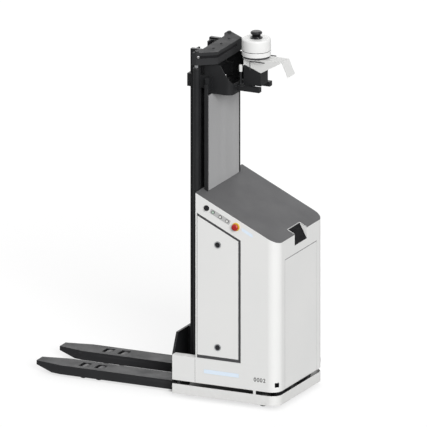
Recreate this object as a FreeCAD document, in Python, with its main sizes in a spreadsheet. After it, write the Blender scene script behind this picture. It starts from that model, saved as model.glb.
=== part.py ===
"""Autonomous pallet stacker: a fork-over-leg mobile robot with a two-stage mast and a raised lidar.

Frame, in millimetres: +X points to the casing's front, the forks point along -X, +Y is the
robot's left, +Z is up, and the origin is on the floor below the middle of the whole robot.
"""
import FreeCAD
import Part
import Sketcher
import os
import re

doc = FreeCAD.newDocument("pallet_stacker")

# ---------------------------------------------------------------- driving dimensions

SIZES = [
    ("front_face", 976, "casing front, from the origin"),
    ("body_width", 770, "overall width of the covers"),
    ("casing_length", 641, "upper casing, front to back"),
    ("wing_length", 182, "lower body behind the casing, beside the mast"),
    ("wing_width", 60, "each wing beside the mast"),
    ("corner_radius", 78, "upright front corners of all covers"),
    ("cover_wall", 3, "sheet of the covers"),
    ("ground_clearance", 30, "floor to skirt"),
    ("skirt_height", 72, "skirt"),
    ("scanner_gap", 28, "open band between skirt and lower body"),
    ("lower_body_height", 184, "lower body"),
    ("casing_rear_height", 1534, "floor to the lid's rear edge"),
    ("lid_slope", 25.4, "degrees that the lid falls towards the front"),
    ("lid_thickness", 4, "lid sheet"),
    ("running_clearance", 0.05, "radial play of a turning or sliding fit"),
    ("seat_gap", 0.3, "play beside a piece that is guided or let in"),
    ("panel_gap", 0.7, "seam around a removable panel"),
    ("base_thickness", 14, "base plate"),
    ("base_inset", 55, "base plate behind the covers' front"),
    ("base_side_inset", 50, "base plate in from the covers' sides"),
    ("hanger_inset", 60, "skirt hangers inside the scanner axes"),
    ("hanger_width", 40, "skirt hangers"),
    ("hanger_lap", 20, "skirt hangers' lap on the base plate and the skirt"),
    ("lug_width", 20, "skirt lugs"),
    ("front_lug_inset", 15, "front skirt lugs start behind the drive axis"),
    ("rear_lug_inset", 40, "rear skirt lugs start ahead of the body's rear"),
    ("skirt_lug_lap", 10, "skirt lugs' lap on the skirt"),
    ("floor_rear_lip", 5, "lower body's floor ahead of the casing's rear"),
    ("floor_front_play", 5, "floor opening ahead of the base plate"),
    ("floor_side_lip", 25, "lower body's floor under the base plate's sides"),
    ("weld_lap", 1, "overlap that makes one piece of two"),
    ("fork_width", 180, "each fork"),
    ("fork_inner", 102, "centre plane to a fork's inner side"),
    ("fork_bottom", 21.5, "floor to a fork's lower edge"),
    ("fork_height", 66.8, "fork's outside depth"),
    ("fork_wall", 6, "fork plate"),
    ("fork_reach", 1091, "fork tip to the carriage plate"),
    ("fork_taper", 200, "length of the narrowing tip"),
    ("tip_width", 96, "fork width at the tip"),
    ("tip_slope_length", 130, "length of the tip's sloping underside"),
    ("tip_rise", 38, "how far the underside rises at the tip"),
    ("carriage_gap", 22, "carriage plate to the lower body's wings"),
    ("carriage_plate", 16, "carriage plate"),
    ("carriage_height", 438, "floor to the carriage plate's top"),
    ("carriage_shoulder", 293, "floor to the carriage plate's slanting sides"),
    ("carriage_half", 307, "carriage plate's half width at the forks"),
    ("carriage_top_half", 238, "carriage plate's half width at its top"),
    ("leg_play", 9, "fork plate to support leg, each side"),
    ("leg_bottom", 25, "floor to support leg"),
    ("leg_height", 53, "support leg"),
    ("leg_wall", 8, "support leg wall"),
    ("leg_reach", 843, "support leg, from the chassis"),
    ("roller_radius", 42, "load roller"),
    ("roller_width", 84, "load roller"),
    ("roller_play", 2, "load roller to its pocket, each side"),
    ("roller_axle", 10, "load roller axle radius"),
    ("front_roller", 74, "support leg's tip to the outer load roller"),
    ("rear_roller", 195, "support leg's tip to the inner load roller"),
    ("leg_solid", 90, "inner load roller's axle to the support leg's hollow"),
    ("pocket_play", 5, "load roller to its pocket, front and rear"),
    ("axle_recess", 2, "load roller axles' ends inside the leg's sides"),
    ("window_play", 1, "fork window beyond the roller's pocket, each side"),
    ("slot_length", 70, "window in the fork over a load roller"),
    ("drive_place", 176, "drive wheel axis behind the casing front"),
    ("drive_radius", 115, "drive wheel"),
    ("drive_width", 70, "drive wheel"),
    ("drive_axle", 12, "drive wheel axle radius"),
    ("steer_radius", 118, "steering disc"),
    ("steer_pin", 30, "steering pin radius"),
    ("steer_sweep", 125, "clear radius around the drive unit"),
    ("steer_height", 250, "floor to the steering disc"),
    ("steer_plate", 12, "steering disc and fork plates"),
    ("drive_play", 3, "drive wheel to its fork, each side"),
    ("steer_pin_show", 15, "steering pin above the bridge"),
    ("steer_arm_half", 40, "steering fork's half width, front to back"),
    ("steer_arm_drop", 30, "steering fork's foot below the drive axle"),
    ("bridge_wall", 12, "bridge that carries the drive unit"),
    ("motor_radius", 46, "traction motor"),
    ("motor_length", 60, "traction motor"),
    ("motor_drop", 8, "motor below the steering disc"),
    ("caster_inset", 87, "caster pivot in from the side"),
    ("caster_radius", 45, "caster wheel"),
    ("caster_width", 36, "caster wheel"),
    ("caster_trail", 28, "caster wheel behind its pivot"),
    ("caster_axle", 6, "caster axle radius"),
    ("caster_pin", 12, "caster pivot pin radius"),
    ("caster_cheek", 4, "caster fork plate"),
    ("caster_play", 1, "caster wheel to its cheeks, each side"),
    ("crown_play", 3, "caster wheel to its crown"),
    ("crown_radius", 33, "caster crown"),
    ("pivot_recess", 2, "caster pivot's top below the base plate's top"),
    ("cheek_rear", 20, "caster cheek behind the pivot"),
    ("cheek_front", 28, "caster cheek ahead of the pivot"),
    ("cheek_toe", 12, "caster cheek's foot behind the axle"),
    ("cheek_heel", 10, "caster cheek's foot ahead of the axle"),
    ("cheek_drop", 10, "caster cheek's foot below the axle"),
    ("cheek_lap", 5, "caster cheek's lap on the crown"),
    ("scanner_radius", 42, "safety scanner"),
    ("scanner_place", 71, "safety scanner behind the casing front"),
    ("scanner_side", 215, "safety scanner from the centre plane"),
    ("scanner_height", 60, "safety scanner"),
    ("mast_rear", 41, "outer mast behind the lower body's rear edge"),
    ("mast_depth", 81, "mast channel, front to back"),
    ("mast_outer", 170, "outer channel's outside, from the centre plane"),
    ("mast_flange", 30, "outer channel's depth across"),
    ("mast_wall", 12, "mast channel wall"),
    ("mast_stagger", 18, "inner mast ahead of the outer mast"),
    ("mast_top", 2519, "floor to the outer mast's top"),
    ("mast_gap", 10, "between outer flange and inner channel"),
    ("inner_flange", 58, "inner channel's depth across"),
    ("inner_foot", 10, "base plate to the inner mast"),
    ("inner_mast_drop", 20, "inner mast's top below the yoke's top"),
    ("inner_tie_wall", 10, "inner mast's ties"),
    ("tie_height", 80, "mast cross ties"),
    ("tie_play", 16, "inner mast to the outer mast's cross ties"),
    ("low_tie", 250, "base plate to the outer mast's lowest tie"),
    ("middle_tie", 1170, "base plate to the outer mast's middle tie"),
    ("high_tie", 120, "lidar bracket's foot to the outer mast's highest tie"),
    ("inner_low_tie", 40, "inner mast's foot to its lower tie"),
    ("inner_high_tie", 170, "chain wheel axis to the foot of the upper inner tie"),
    ("low_pad", 20, "inner mast's foot to its lower guide pads"),
    ("high_pad", 470, "inner mast's foot to its upper guide pads"),
    ("anchor_rise", 10, "chain anchor above the middle tie's foot"),
    ("anchor_height", 30, "chain anchor"),
    ("yoke_rise", 12, "yoke's top above the outer mast"),
    ("yoke_height", 91, "yoke"),
    ("yoke_reach", 128, "yoke's front ahead of the inner mast"),
    ("yoke_half", 199, "yoke's front half width"),
    ("yoke_lap", 24, "yoke's ends beyond the cylinder axis"),
    ("yoke_groove", 5, "depth of the groove round the yoke's front"),
    ("groove_height", 20, "groove round the yoke's front"),
    ("groove_rise", 58.24, "yoke's foot to the groove's middle"),
    ("groove_end", 80, "groove's end, from the yoke's front corner"),
    ("yoke_rear_margin", 2, "yoke's ends behind the cylinders"),
    ("yoke_end_depth", 8, "yoke's ends ahead of the cylinder axes"),
    ("yoke_step_play", 6, "step in the yoke's rear to the cylinders"),
    ("yoke_root_play", 8, "yoke's root beside the outer mast"),
    ("cylinder_radius", 23.5, "lift cylinder"),
    ("cylinder_bore", 18, "lift cylinder bore radius"),
    ("cylinder_inset", 3, "lift cylinder axis behind the inner mast's front"),
    ("cylinder_offset", 100, "lift cylinder axis outside the mast"),
    ("rod_radius", 14, "lift rod"),
    ("rod_show", 26, "lift rod seen above its cylinder at rest"),
    ("rod_length", 2120, "lift rod"),
    ("cylinder_floor", 15, "closed foot of the lift cylinder"),
    ("piston_height", 30, "piston"),
    ("guide_height", 70, "guide pads"),
    ("sheave_radius", 26, "chain wheel at the chain's seat"),
    ("sheave_drop", 50, "chain wheel axis below the yoke"),
    ("sheave_side", 40, "chain wheel from the centre plane"),
    ("sheave_width", 20, "chain wheel"),
    ("chain_depth", 12, "chain, through its thickness"),
    ("chain_width", 14, "chain, across"),
    ("chain_pin", 10, "chain wheel shaft radius"),
    ("lug_height", 300, "carriage lugs inside the mast"),
    ("lug_wall", 10, "carriage lug plate"),
    ("lug_play", 4, "carriage lugs to the inner mast's lips"),
    ("lug_front_play", 6, "carriage lugs behind the inner mast's front flanges"),
    ("pad_inset", 10, "carriage guide pads from the lugs' ends"),
    ("chain_bar_rise", 12, "chain bar's top above the carriage plate"),
    ("chain_bar_drop", 30, "chain bar's foot below the carriage plate's top"),
    ("chain_bar_margin", 4, "chain bar beyond the chains, front and rear"),
    ("slit_inset", 4, "sight slit, from the centre plane"),
    ("slit_width", 14, "sight slit"),
    ("slit_drop", 8, "sight slit below the carriage plate's shoulder"),
    ("slit_height", 41, "sight slit"),
    ("guard_inset", 39, "guard screen's middle, from the casing's rear"),
    ("guard_wall", 4, "guard screen"),
    ("guard_half", 249, "guard screen's half width"),
    ("post_rise", 49, "guard posts' tops above the clamp's lower edge"),
    ("post_depth", 25, "guard post, front to back"),
    ("post_width", 14, "guard post, across"),
    ("post_gap", 8, "guard screen to its posts"),
    ("rail_height", 30, "guard screen's bottom rail"),
    ("clip_height", 14, "guard clips"),
    ("clip_inset", 5, "guard clips ahead of the posts' rear"),
    ("clip_lap", 14, "guard clips' lap on the screen"),
    ("rail_reach", 6, "guard rail behind the screen"),
    ("lower_clip_drop", 535, "lower guard clips below the lidar bracket"),
    ("upper_clip_drop", 162, "upper guard clips below the lidar bracket"),
    ("bracket_gap", 24, "lidar bracket ahead of the inner mast"),
    ("bracket_top_length", 124, "lidar bracket, front to back at its top"),
    ("bracket_length", 213, "lidar bracket, front to back at its foot"),
    ("bracket_half", 199, "lidar bracket's half width"),
    ("bracket_height", 212, "lidar bracket"),
    ("bracket_drop", 10, "yoke to the lidar bracket"),
    ("bracket_step", 68, "upright part of the lidar bracket's front"),
    ("bracket_wall", 5, "lidar bracket sheet"),
    ("bracket_corner", 50, "lidar bracket's front corners"),
    ("clamp_rise", 33, "mast clamp above the bracket's foot"),
    ("clamp_height", 94, "mast clamp"),
    ("clamp_wall", 12, "mast clamp"),
    ("clamp_lap", 40, "mast clamp's sides ahead of the bracket's rear"),
    ("shelf_length", 171, "sensor shelf ahead of the lidar bracket"),
    ("shelf_half", 109, "sensor shelf's half width"),
    ("shelf_rise", 19, "sensor shelf above the bracket's foot"),
    ("shelf_height", 35, "sensor shelf"),
    ("shelf_arm", 40, "width of each shelf arm"),
    ("board_wall", 12, "board between the shelf arms"),
    ("board_inset", 60, "shelf board's front behind the wedge bracket's"),
    ("beam_depth", 20, "beam across the shelf's root"),
    ("wedge_gap", 27, "wedge bracket ahead of the lidar bracket"),
    ("wedge_length", 135, "wedge bracket, front to back"),
    ("wedge_half", 58, "wedge bracket and sensor arm half width"),
    ("wedge_rear_height", 148, "wedge bracket's rear edge"),
    ("wedge_front_height", 97, "wedge bracket's front edge"),
    ("arm_rise", 48, "sensor arm's top above the wedge bracket"),
    ("arm_reach", 228, "sensor arm ahead of the lidar axis"),
    ("arm_tail", 16, "gussets' ends behind the front bend"),
    ("arm_wall", 3, "sensor arm sheet"),
    ("gusset_end", 8, "gussets' depth at their front ends"),
    ("saddle_inset", 6, "saddle inside the drum's outside"),
    ("flap_reach", 47, "front flap's lower edge ahead of the bend"),
    ("flap_drop", 108, "front flap's lower edge below the bend"),
    ("flap_bevel", 2, "bevel on the front flap's lower edge"),
    ("drum_inset", 72, "lidar axis ahead of the wedge's rear edge"),
    ("drum_radius", 103, "drum cover"),
    ("drum_height", 140, "drum cover"),
    ("drum_wall", 3, "drum cover shell"),
    ("lidar_flange", 44.5, "lidar's foot radius"),
    ("lidar_neck", 30.5, "lidar's window radius"),
    ("lidar_cap", 41.5, "lidar's cap radius"),
    ("flange_height", 8, "lidar's foot"),
    ("neck_height", 24, "lidar's window"),
    ("cap_height", 18, "lidar's cap"),
    ("rotor_radius", 22, "lidar's turning mirror"),
    ("rotor_play", 3, "turning mirror to its chamber"),
    ("rotor_pin", 4, "turning mirror's pin radius"),
    ("side_door_rear", 10, "side opening, from the casing's rear edge"),
    ("side_door_length", 343, "side opening"),
    ("side_door_drop", 144, "side opening's top below the lid"),
    ("side_door_sill", 3, "casing below the side opening"),
    ("side_seal", 19, "seal beside and above the side panel"),
    ("sill_seal", 23, "seal below the side panel"),
    ("rear_seal", 3, "seal behind the side panel"),
    ("seal_recess", 2, "seal's face in from the casing's side"),
    ("seal_depth", 6, "seal, across its thickness"),
    ("panel_recess", 1, "side panel's face in from the casing's side"),
    ("lock_show", 3, "panel lock heads stand out"),
    ("cam_gap", 1, "lock cam behind the side panel"),
    ("cam_wall", 5, "lock cam"),
    ("cam_reach", 40, "lock cam, from the lock's axis"),
    ("slot_half_length", 10, "driver slot's half length"),
    ("slot_half_width", 2, "driver slot's half width"),
    ("slot_depth", 2, "driver slot"),
    ("lock_radius", 25, "panel lock head"),
    ("lock_stem", 12, "panel lock stem radius"),
    ("lock_inset", 163, "panel locks from the opening's rear edge"),
    ("lower_lock_rise", 94, "lower lock above the opening's foot"),
    ("upper_lock_rise", 851, "upper lock above the opening's foot"),
    ("front_door_half", 262, "front panel's half width"),
    ("front_door_drop", 147.6, "front panel's top below the lid's front edge"),
    ("backing_inset", 10, "front panel's backing inside the edge of its skin"),
    ("door_lip", 14, "front panel's lips beyond its skin"),
    ("notch_half", 100, "notch's half width"),
    ("notch_depth", 56, "notch, from the casing front"),
    ("notch_drop", 89.6, "notch's lower edge below the lid's front edge"),
    ("notch_rise", 112, "notch window's rise to its rear edge"),
    ("notch_frame", 10, "notch frame below the notch's floor"),
    ("band_inset", 65, "lower light band from the casing's rear"),
    ("band_length", 275, "lower light band"),
    ("band_rise", 93, "lower light band's middle above the lower body's foot"),
    ("band_width", 30, "lower light band"),
    ("status_inset", 361, "status light from the casing's rear"),
    ("status_length", 86, "status light"),
    ("status_drop", 43, "status light below the lid"),
    ("status_width", 25, "status light"),
    ("pane_recess", 0.5, "light windows' faces in from the casing's side"),
    ("pane_depth", 2, "light windows behind the sheet"),
    ("control_drop", 64, "row of controls below the lid"),
    ("key_inset", 86, "key switch from the casing's rear"),
    ("key_radius", 17, "key switch"),
    ("key_stem_radius", 10.2, "key switch's stem radius"),
    ("key_show", 8, "key switch stands out"),
    ("key_grip_half", 4, "key's grip, half its thickness"),
    ("key_grip_reach", 15.3, "key's grip, from its axis"),
    ("key_grip_show", 18, "key's grip stands out"),
    ("start_inset", 138, "start button from the casing's rear"),
    ("reset_inset", 195, "reset button from the casing's rear"),
    ("lamp_inset", 247, "lamp button from the casing's rear"),
    ("button_radius", 9, "push buttons"),
    ("button_show", 7, "push buttons stand out"),
    ("stop_inset", 316, "emergency stop from the casing's rear"),
    ("stop_ring", 30, "emergency stop's ring radius"),
    ("stop_radius", 20, "emergency stop's head radius"),
    ("stop_stem", 11, "emergency stop's stem radius"),
    ("stop_travel", 6, "emergency stop's gap under its head"),
    ("stop_height", 19, "emergency stop's head"),
    ("collar_height", 5, "emergency stop's ring"),
    ("stem_length", 28, "stems behind the controls"),
    ("battery_inset", 65, "battery from the casing's rear"),
    ("battery_length", 240, "battery"),
    ("battery_half", 280, "battery's half width"),
    ("battery_height", 300, "battery"),
    ("bulkhead_rise", 866, "bulkhead above the lower body"),
    ("bulkhead_inset", 10, "bulkhead ahead of the casing's rear"),
    ("bulkhead_wall", 8, "bulkhead behind the battery"),
    ("bulkhead_half", 300, "bulkhead's half width"),
    ("unit_margin", 40, "units on the bulkhead, from its side edges"),
    ("unit_drop", 30, "units on the bulkhead, from its top edge"),
    ("controller_depth", 200, "controller box, front to back"),
    ("controller_width", 280, "controller box"),
    ("controller_height", 440, "controller box"),
    ("tank_depth", 180, "oil tank, front to back"),
    ("tank_width", 200, "oil tank"),
    ("tank_height", 300, "oil tank"),
    ("pump_radius", 65, "pump motor"),
    ("pump_height", 230, "pump motor below the tank"),
]

DERIVED = {
    "half_width": "body_width / 2",
    "casing_rear": "front_face - casing_length",
    "body_rear": "casing_rear - wing_length",
    "wing_inside": "half_width - wing_width",
    "skirt_top": "ground_clearance + skirt_height",
    "base_top": "skirt_top + scanner_gap",
    "base_bottom": "base_top - base_thickness",
    "base_half": "half_width - base_side_inset",
    "base_front": "front_face - base_inset",
    "lower_top": "base_top + lower_body_height",
    "carriage_front": "body_rear - carriage_gap",
    "carriage_rear": "carriage_front - carriage_plate",
    "fork_tip": "carriage_rear - fork_reach",
    "fork_top": "fork_bottom + fork_height",
    "fork_middle": "fork_inner + fork_width / 2",
    "leg_half": "fork_width / 2 - fork_wall - leg_play",
    "leg_tip": "body_rear - leg_reach",
    "leg_top": "leg_bottom + leg_height",
    "drive_middle": "front_face - drive_place",
    "bridge_bottom": "steer_height + steer_plate + seat_gap",
    "caster_side": "half_width - caster_inset",
    "outer_rear": "body_rear + mast_rear",
    "outer_front": "outer_rear + mast_depth",
    "inner_rear": "outer_rear + mast_stagger",
    "inner_front": "inner_rear + mast_depth",
    "outer_web": "mast_outer - mast_wall",
    "outer_lip": "mast_outer - mast_flange",
    "inner_outer": "outer_lip - mast_gap",
    "inner_web": "inner_outer - mast_wall",
    "inner_lip": "inner_outer - inner_flange",
    "tie_rear": "inner_front + tie_play",
    "yoke_bottom": "yoke_top - yoke_height",
    "inner_bottom": "base_top + inner_foot",
    "cylinder_top": "yoke_bottom - rod_show",
    "sheave_height": "yoke_bottom - sheave_drop",
    "sheave_place": "inner_front - sheave_radius",
    "chain_reach": "sheave_radius + chain_depth / 2",
    "lug_outside": "inner_lip - lug_play",
    "lug_inside": "lug_outside - lug_wall",
    "lug_front": "inner_front - mast_wall - lug_front_play",
    "post_inside": "guard_half + post_gap",
    "yoke_top": "mast_top + yoke_rise",
    "yoke_front": "inner_front + yoke_reach",
    "cylinder_place": "inner_front - cylinder_inset",
    "cylinder_side": "mast_outer + cylinder_offset",
    "yoke_end": "cylinder_side + yoke_lap",
    "guard_place": "casing_rear + guard_inset",
    "bracket_rear": "inner_front + bracket_gap",
    "bracket_top_front": "bracket_rear + bracket_top_length",
    "bracket_front": "bracket_rear + bracket_length",
    "bracket_bottom": "bracket_top - bracket_height",
    "bracket_top": "yoke_bottom - bracket_drop",
    "clamp_bottom": "bracket_bottom + clamp_rise",
    "guard_top": "clamp_bottom + post_rise",
    "lower_clips": "bracket_bottom - lower_clip_drop",
    "upper_clips": "bracket_bottom - upper_clip_drop",
    "shelf_front": "bracket_front + shelf_length",
    "shelf_bottom": "bracket_bottom + shelf_rise",
    "wedge_rear": "bracket_front + wedge_gap",
    "wedge_front": "wedge_rear + wedge_length",
    "wedge_high": "wedge_foot + wedge_rear_height",
    "wedge_low": "wedge_foot + wedge_front_height",
    "arm_height": "wedge_high + arm_rise",
    "arm_front": "drum_place + arm_reach",
    "arm_end": "arm_front - arm_tail",
    "flap_front": "arm_front + flap_reach",
    "flap_bottom": "arm_height - flap_drop",
    "drum_place": "wedge_rear + drum_inset",
    "lock_place": "door_rear + lock_inset",
    "lower_lock": "door_bottom + lower_lock_rise",
    "upper_lock": "door_bottom + upper_lock_rise",
    "band_start": "casing_rear + band_inset",
    "band_end": "band_start + band_length",
    "band_height": "base_top + band_rise",
    "status_start": "casing_rear + status_inset",
    "status_end": "status_start + status_length",
    "key_place": "casing_rear + key_inset",
    "start_place": "casing_rear + start_inset",
    "reset_place": "casing_rear + reset_inset",
    "lamp_place": "casing_rear + lamp_inset",
    "stop_place": "casing_rear + stop_inset",
    "battery_rear": "casing_rear + battery_inset",
    "bulkhead_height": "lower_top + bulkhead_rise",
    "bulkhead_face": "casing_rear + bulkhead_inset + bulkhead_wall",
    "front_door_top": "lid_front - front_door_drop",
    "notch_bottom": "lid_front - notch_drop",
    "lid_front": "casing_rear_height - casing_length * tan(lid_slope)",
    "anchor_bottom": "base_top + middle_tie + anchor_rise",
    "wedge_foot": "shelf_bottom + shelf_height",
    "drum_bottom": "arm_height",
    "drum_top": "drum_bottom + drum_height",
    "door_front": "casing_rear + side_door_rear + side_door_length",
    "door_rear": "casing_rear + side_door_rear",
    "door_bottom": "lower_top + side_door_sill",
    "seal_outside": "half_width - seal_recess",
    "seal_inside": "seal_outside - seal_depth",
}

MATHS = {"tan", "sin", "cos", "sqrt"}

sheet = doc.addObject("Spreadsheet::Sheet", "Sizes")
for row, (alias, value, purpose) in enumerate(SIZES, start=1):
    sheet.set(f"A{row}", str(value))
    sheet.setAlias(f"A{row}", alias)
    sheet.set(f"B{row}", purpose)
doc.recompute()


def expand(text):
    """Turn the plain names of a formula into references to the sheet's cells."""
    def reference(match):
        name = match.group(0)
        if name in MATHS:
            return name
        if name in DERIVED:
            return f"({expand(DERIVED[name])})"
        return f"Sizes.{name}"
    return re.sub(r"[a-z][a-z_]*", reference, str(text))


def number(text):
    """The present value of a formula."""
    return float(sheet.evalExpression(expand(text)))


def lid_height(place, drop="0"):
    """Height of the lid's top at a place along X, less a drop."""
    return f"(casing_rear_height - ({place} - casing_rear) * tan(lid_slope) - ({drop}))"


def mirrored(side, low, high):
    """A span across Y on the left (side 1) or on the right (side -1)."""
    return (low, high) if side > 0 else (f"-({high})", f"-({low})")


# ---------------------------------------------------------------- building blocks

TURNS = {
    "x": FreeCAD.Rotation(FreeCAD.Vector(0, 1, 0), 90),
    "y": FreeCAD.Rotation(FreeCAD.Vector(1, 0, 0), -90),
    "z": FreeCAD.Rotation(),
}
SKETCH_PLANES = {"x": "YZ_Plane", "y": "XZ_Plane", "z": "XY_Plane"}


def box(name, x_span, y_span, z_span):
    """A block between low and high formulas along each axis."""
    block = doc.addObject("Part::Box", name)
    spans = (("Length", "x", x_span), ("Width", "y", y_span), ("Height", "z", z_span))
    for size, axis, (low, high) in spans:
        block.setExpression(size, expand(f"({high}) - ({low})"))
        block.setExpression(f"Placement.Base.{axis}", expand(low))
    return block


def cylinder(name, axis, centre, radius, span):
    """A cylinder along an axis; centre holds the two other coordinates in X, Y, Z order."""
    rod = doc.addObject("Part::Cylinder", name)
    rod.Placement = FreeCAD.Placement(FreeCAD.Vector(), TURNS[axis])
    low, high = span
    rod.setExpression("Radius", expand(radius))
    rod.setExpression("Height", expand(f"({high}) - ({low})"))
    across = [letter for letter in "xyz" if letter != axis]
    rod.setExpression(f"Placement.Base.{axis}", expand(low))
    for letter, place in zip(across, centre):
        rod.setExpression(f"Placement.Base.{letter}", expand(place))
    return rod


def prism(name, axis, outline, span):
    """A body that pads a closed outline along an axis; outline points are pairs of formulas."""
    body = doc.addObject("PartDesign::Body", name)
    sketch = body.newObject("Sketcher::SketchObject", f"{name}_outline")
    planes = [item for item in body.Origin.OriginFeatures if item.Role == SKETCH_PLANES[axis]]
    sketch.AttachmentSupport = [(planes[0], "")]
    sketch.MapMode = "FlatFace"
    corners = [FreeCAD.Vector(number(first), number(second), 0) for first, second in outline]
    count = len(corners)
    for index in range(count):
        sketch.addGeometry(Part.LineSegment(corners[index], corners[(index + 1) % count]))
    for index in range(count):
        sketch.addConstraint(Sketcher.Constraint("Coincident", index, 2, (index + 1) % count, 1))
    for index, pair in enumerate(outline):
        for kind, formula in zip(("DistanceX", "DistanceY"), pair):
            limit = Sketcher.Constraint(kind, -1, 1, index, 1, number(formula))
            place = sketch.addConstraint(limit)
            sketch.setExpression(f"Constraints[{place}]", expand(formula))
    low, high = span
    offset = f"-({high})" if axis == "y" else low
    sketch.setExpression("AttachmentOffset.Base.z", expand(offset))
    pad = body.newObject("PartDesign::Pad", f"{name}_pad")
    pad.Profile = sketch
    pad.setExpression("Length", expand(f"({high}) - ({low})"))
    doc.recompute()
    return body


def round_uprights(body, place, radius):
    """Round the upright edges of a body that stand at a place along X."""
    base = body.Tip
    x_place = number(place)
    names = []
    for index, edge in enumerate(base.Shape.Edges, start=1):
        size = edge.BoundBox
        upright = size.XLength < 0.01 and size.YLength < 0.01
        if upright and abs(size.XMin - x_place) < 0.01:
            names.append(f"Edge{index}")
    rounding = body.newObject("PartDesign::Fillet", f"{body.Name}_rounding")
    rounding.Base = (base, names)
    rounding.setExpression("Radius", expand(radius))
    body.Tip = rounding
    doc.recompute()
    return body


def join(name, pieces):
    """One solid from pieces that touch or overlap."""
    whole = doc.addObject("Part::MultiFuse", name)
    whole.Shapes = pieces
    whole.Refine = True
    return whole


def cut(name, base, tools):
    """The base less all the tools."""
    result = doc.addObject("Part::Cut", name)
    result.Base = base
    result.Tool = tools[0] if len(tools) == 1 else join(f"{name}_tools", tools)
    result.Refine = True
    return result


def group(name, pieces):
    """Like pieces that stay separate solids in one node."""
    whole = doc.addObject("Part::Compound", name)
    whole.Links = pieces
    return whole


NODES = []


def node(label, shape):
    """Keep a finished sub-part under its own label."""
    shape.Label = label
    NODES.append(shape)
    return shape


SIDES = (("left", 1), ("right", -1))

# ---------------------------------------------------------------- chassis


def make_base_frame():
    plate = box("base_plate", ("body_rear", "base_front"), ("-base_half", "base_half"),
                ("base_bottom", "base_top"))
    pieces = [plate]
    for name, side in SIDES:
        low, high = mirrored(side, "fork_middle - leg_half", "fork_middle + leg_half")
        pieces.append(box(f"leg_root_{name}", ("body_rear", "body_rear + bridge_wall"),
                          (low, high), ("leg_bottom", "base_top")))
        hanger_y = mirrored(side, "scanner_side - hanger_inset - hanger_width",
                            "scanner_side - hanger_inset")
        pieces.append(box(f"skirt_hanger_{name}", ("base_front - hanger_lap", "front_face - cover_wall"),
                          hanger_y, ("skirt_top - hanger_lap", "base_top")))
        pieces.append(box(f"bridge_side_{name}",
                          ("drive_middle - steer_radius", "drive_middle + steer_radius"),
                          mirrored(side, "steer_sweep", "steer_sweep + bridge_wall"),
                          ("base_bottom", "bridge_bottom + bridge_wall")))
    pieces.append(box("bridge_top", ("drive_middle - steer_radius", "drive_middle + steer_radius"),
                      ("-steer_sweep - weld_lap", "steer_sweep + weld_lap"),
                      ("bridge_bottom", "bridge_bottom + bridge_wall")))
    pieces.append(box("bulkhead", ("casing_rear + bulkhead_inset", "bulkhead_face"),
                      ("-bulkhead_half", "bulkhead_half"), ("base_bottom", "bulkhead_height")))
    holes = [
        cylinder("drive_hole", "z", ("drive_middle", "0"), "steer_sweep",
                 ("base_bottom - 1", "base_top + 1")),
        cylinder("steer_bore", "z", ("drive_middle", "0"), "steer_pin + running_clearance",
                 ("bridge_bottom - 1", "bridge_bottom + bridge_wall + 1")),
    ]
    for name, side in SIDES:
        holes.append(cylinder(f"caster_bore_{name}", "z", ("drive_middle", f"{side} * caster_side"),
                              "caster_pin + running_clearance", ("base_bottom - 1", "base_top + 1")))
    node("base_frame", cut("base_frame_body", join("base_frame_weldment", pieces), holes))


def make_support_legs():
    legs = []
    for name, side in SIDES:
        y_middle = f"{side} * fork_middle"
        leg = box(f"leg_{name}", ("leg_tip", "body_rear"),
                  (f"{y_middle} - leg_half", f"{y_middle} + leg_half"), ("leg_bottom", "leg_top"))
        tools = [box(f"leg_hollow_{name}", ("leg_tip + rear_roller + leg_solid", "body_rear - leg_wall"),
                     (f"{y_middle} - leg_half + leg_wall", f"{y_middle} + leg_half - leg_wall"),
                     ("leg_bottom - 1", "leg_top - leg_wall"))]
        for stage in ("front_roller", "rear_roller"):
            place = f"leg_tip + {stage}"
            tools.append(box(f"pocket_{stage}_{name}",
                             (f"{place} - roller_radius - pocket_play",
                              f"{place} + roller_radius + pocket_play"),
                             (f"{y_middle} - roller_width / 2 - roller_play",
                              f"{y_middle} + roller_width / 2 + roller_play"),
                             ("leg_bottom - 1", "leg_top + 1")))
            tools.append(cylinder(f"axle_hole_{stage}_{name}", "y", (place, "roller_radius"),
                                  "roller_axle + running_clearance",
                                  (f"{y_middle} - leg_half - 1", f"{y_middle} + leg_half + 1")))
        legs.append(cut(f"support_leg_{name}", leg, tools))
    node("support_legs", group("support_leg_pair", legs))


def make_load_rollers():
    axles = []
    for name, side in SIDES:
        y_middle = f"{side} * fork_middle"
        for label, stage in (("front", "front_roller"), ("rear", "rear_roller")):
            place = f"leg_tip + {stage}"
            axles.append(cylinder(f"axle_{label}_{name}", "y", (place, "roller_radius"), "roller_axle",
                                  (f"{y_middle} - leg_half + axle_recess",
                                   f"{y_middle} + leg_half - axle_recess")))
            tread = cylinder(f"tread_{label}_{name}", "y", (place, "roller_radius"), "roller_radius",
                             (f"{y_middle} - roller_width / 2", f"{y_middle} + roller_width / 2"))
            bore = cylinder(f"bore_{label}_{name}", "y", (place, "roller_radius"),
                            "roller_axle + running_clearance",
                            (f"{y_middle} - roller_width", f"{y_middle} + roller_width"))
            node(f"load_roller_{label}_{name}", cut(f"roller_{label}_{name}", tread, [bore]))
    node("roller_axles", group("roller_axle_set", axles))


def cover_block(name, inset, low, high, rear):
    """A level block with the covers' rounded front corners, drawn in by an inset."""
    front = f"front_face - {inset}"
    outline = [(rear, low), (front, low), (front, high), (rear, high)]
    body = prism(name, "y", outline, (f"-(half_width - {inset})", f"half_width - {inset}"))
    return round_uprights(body, front, f"corner_radius - {inset}")


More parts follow.
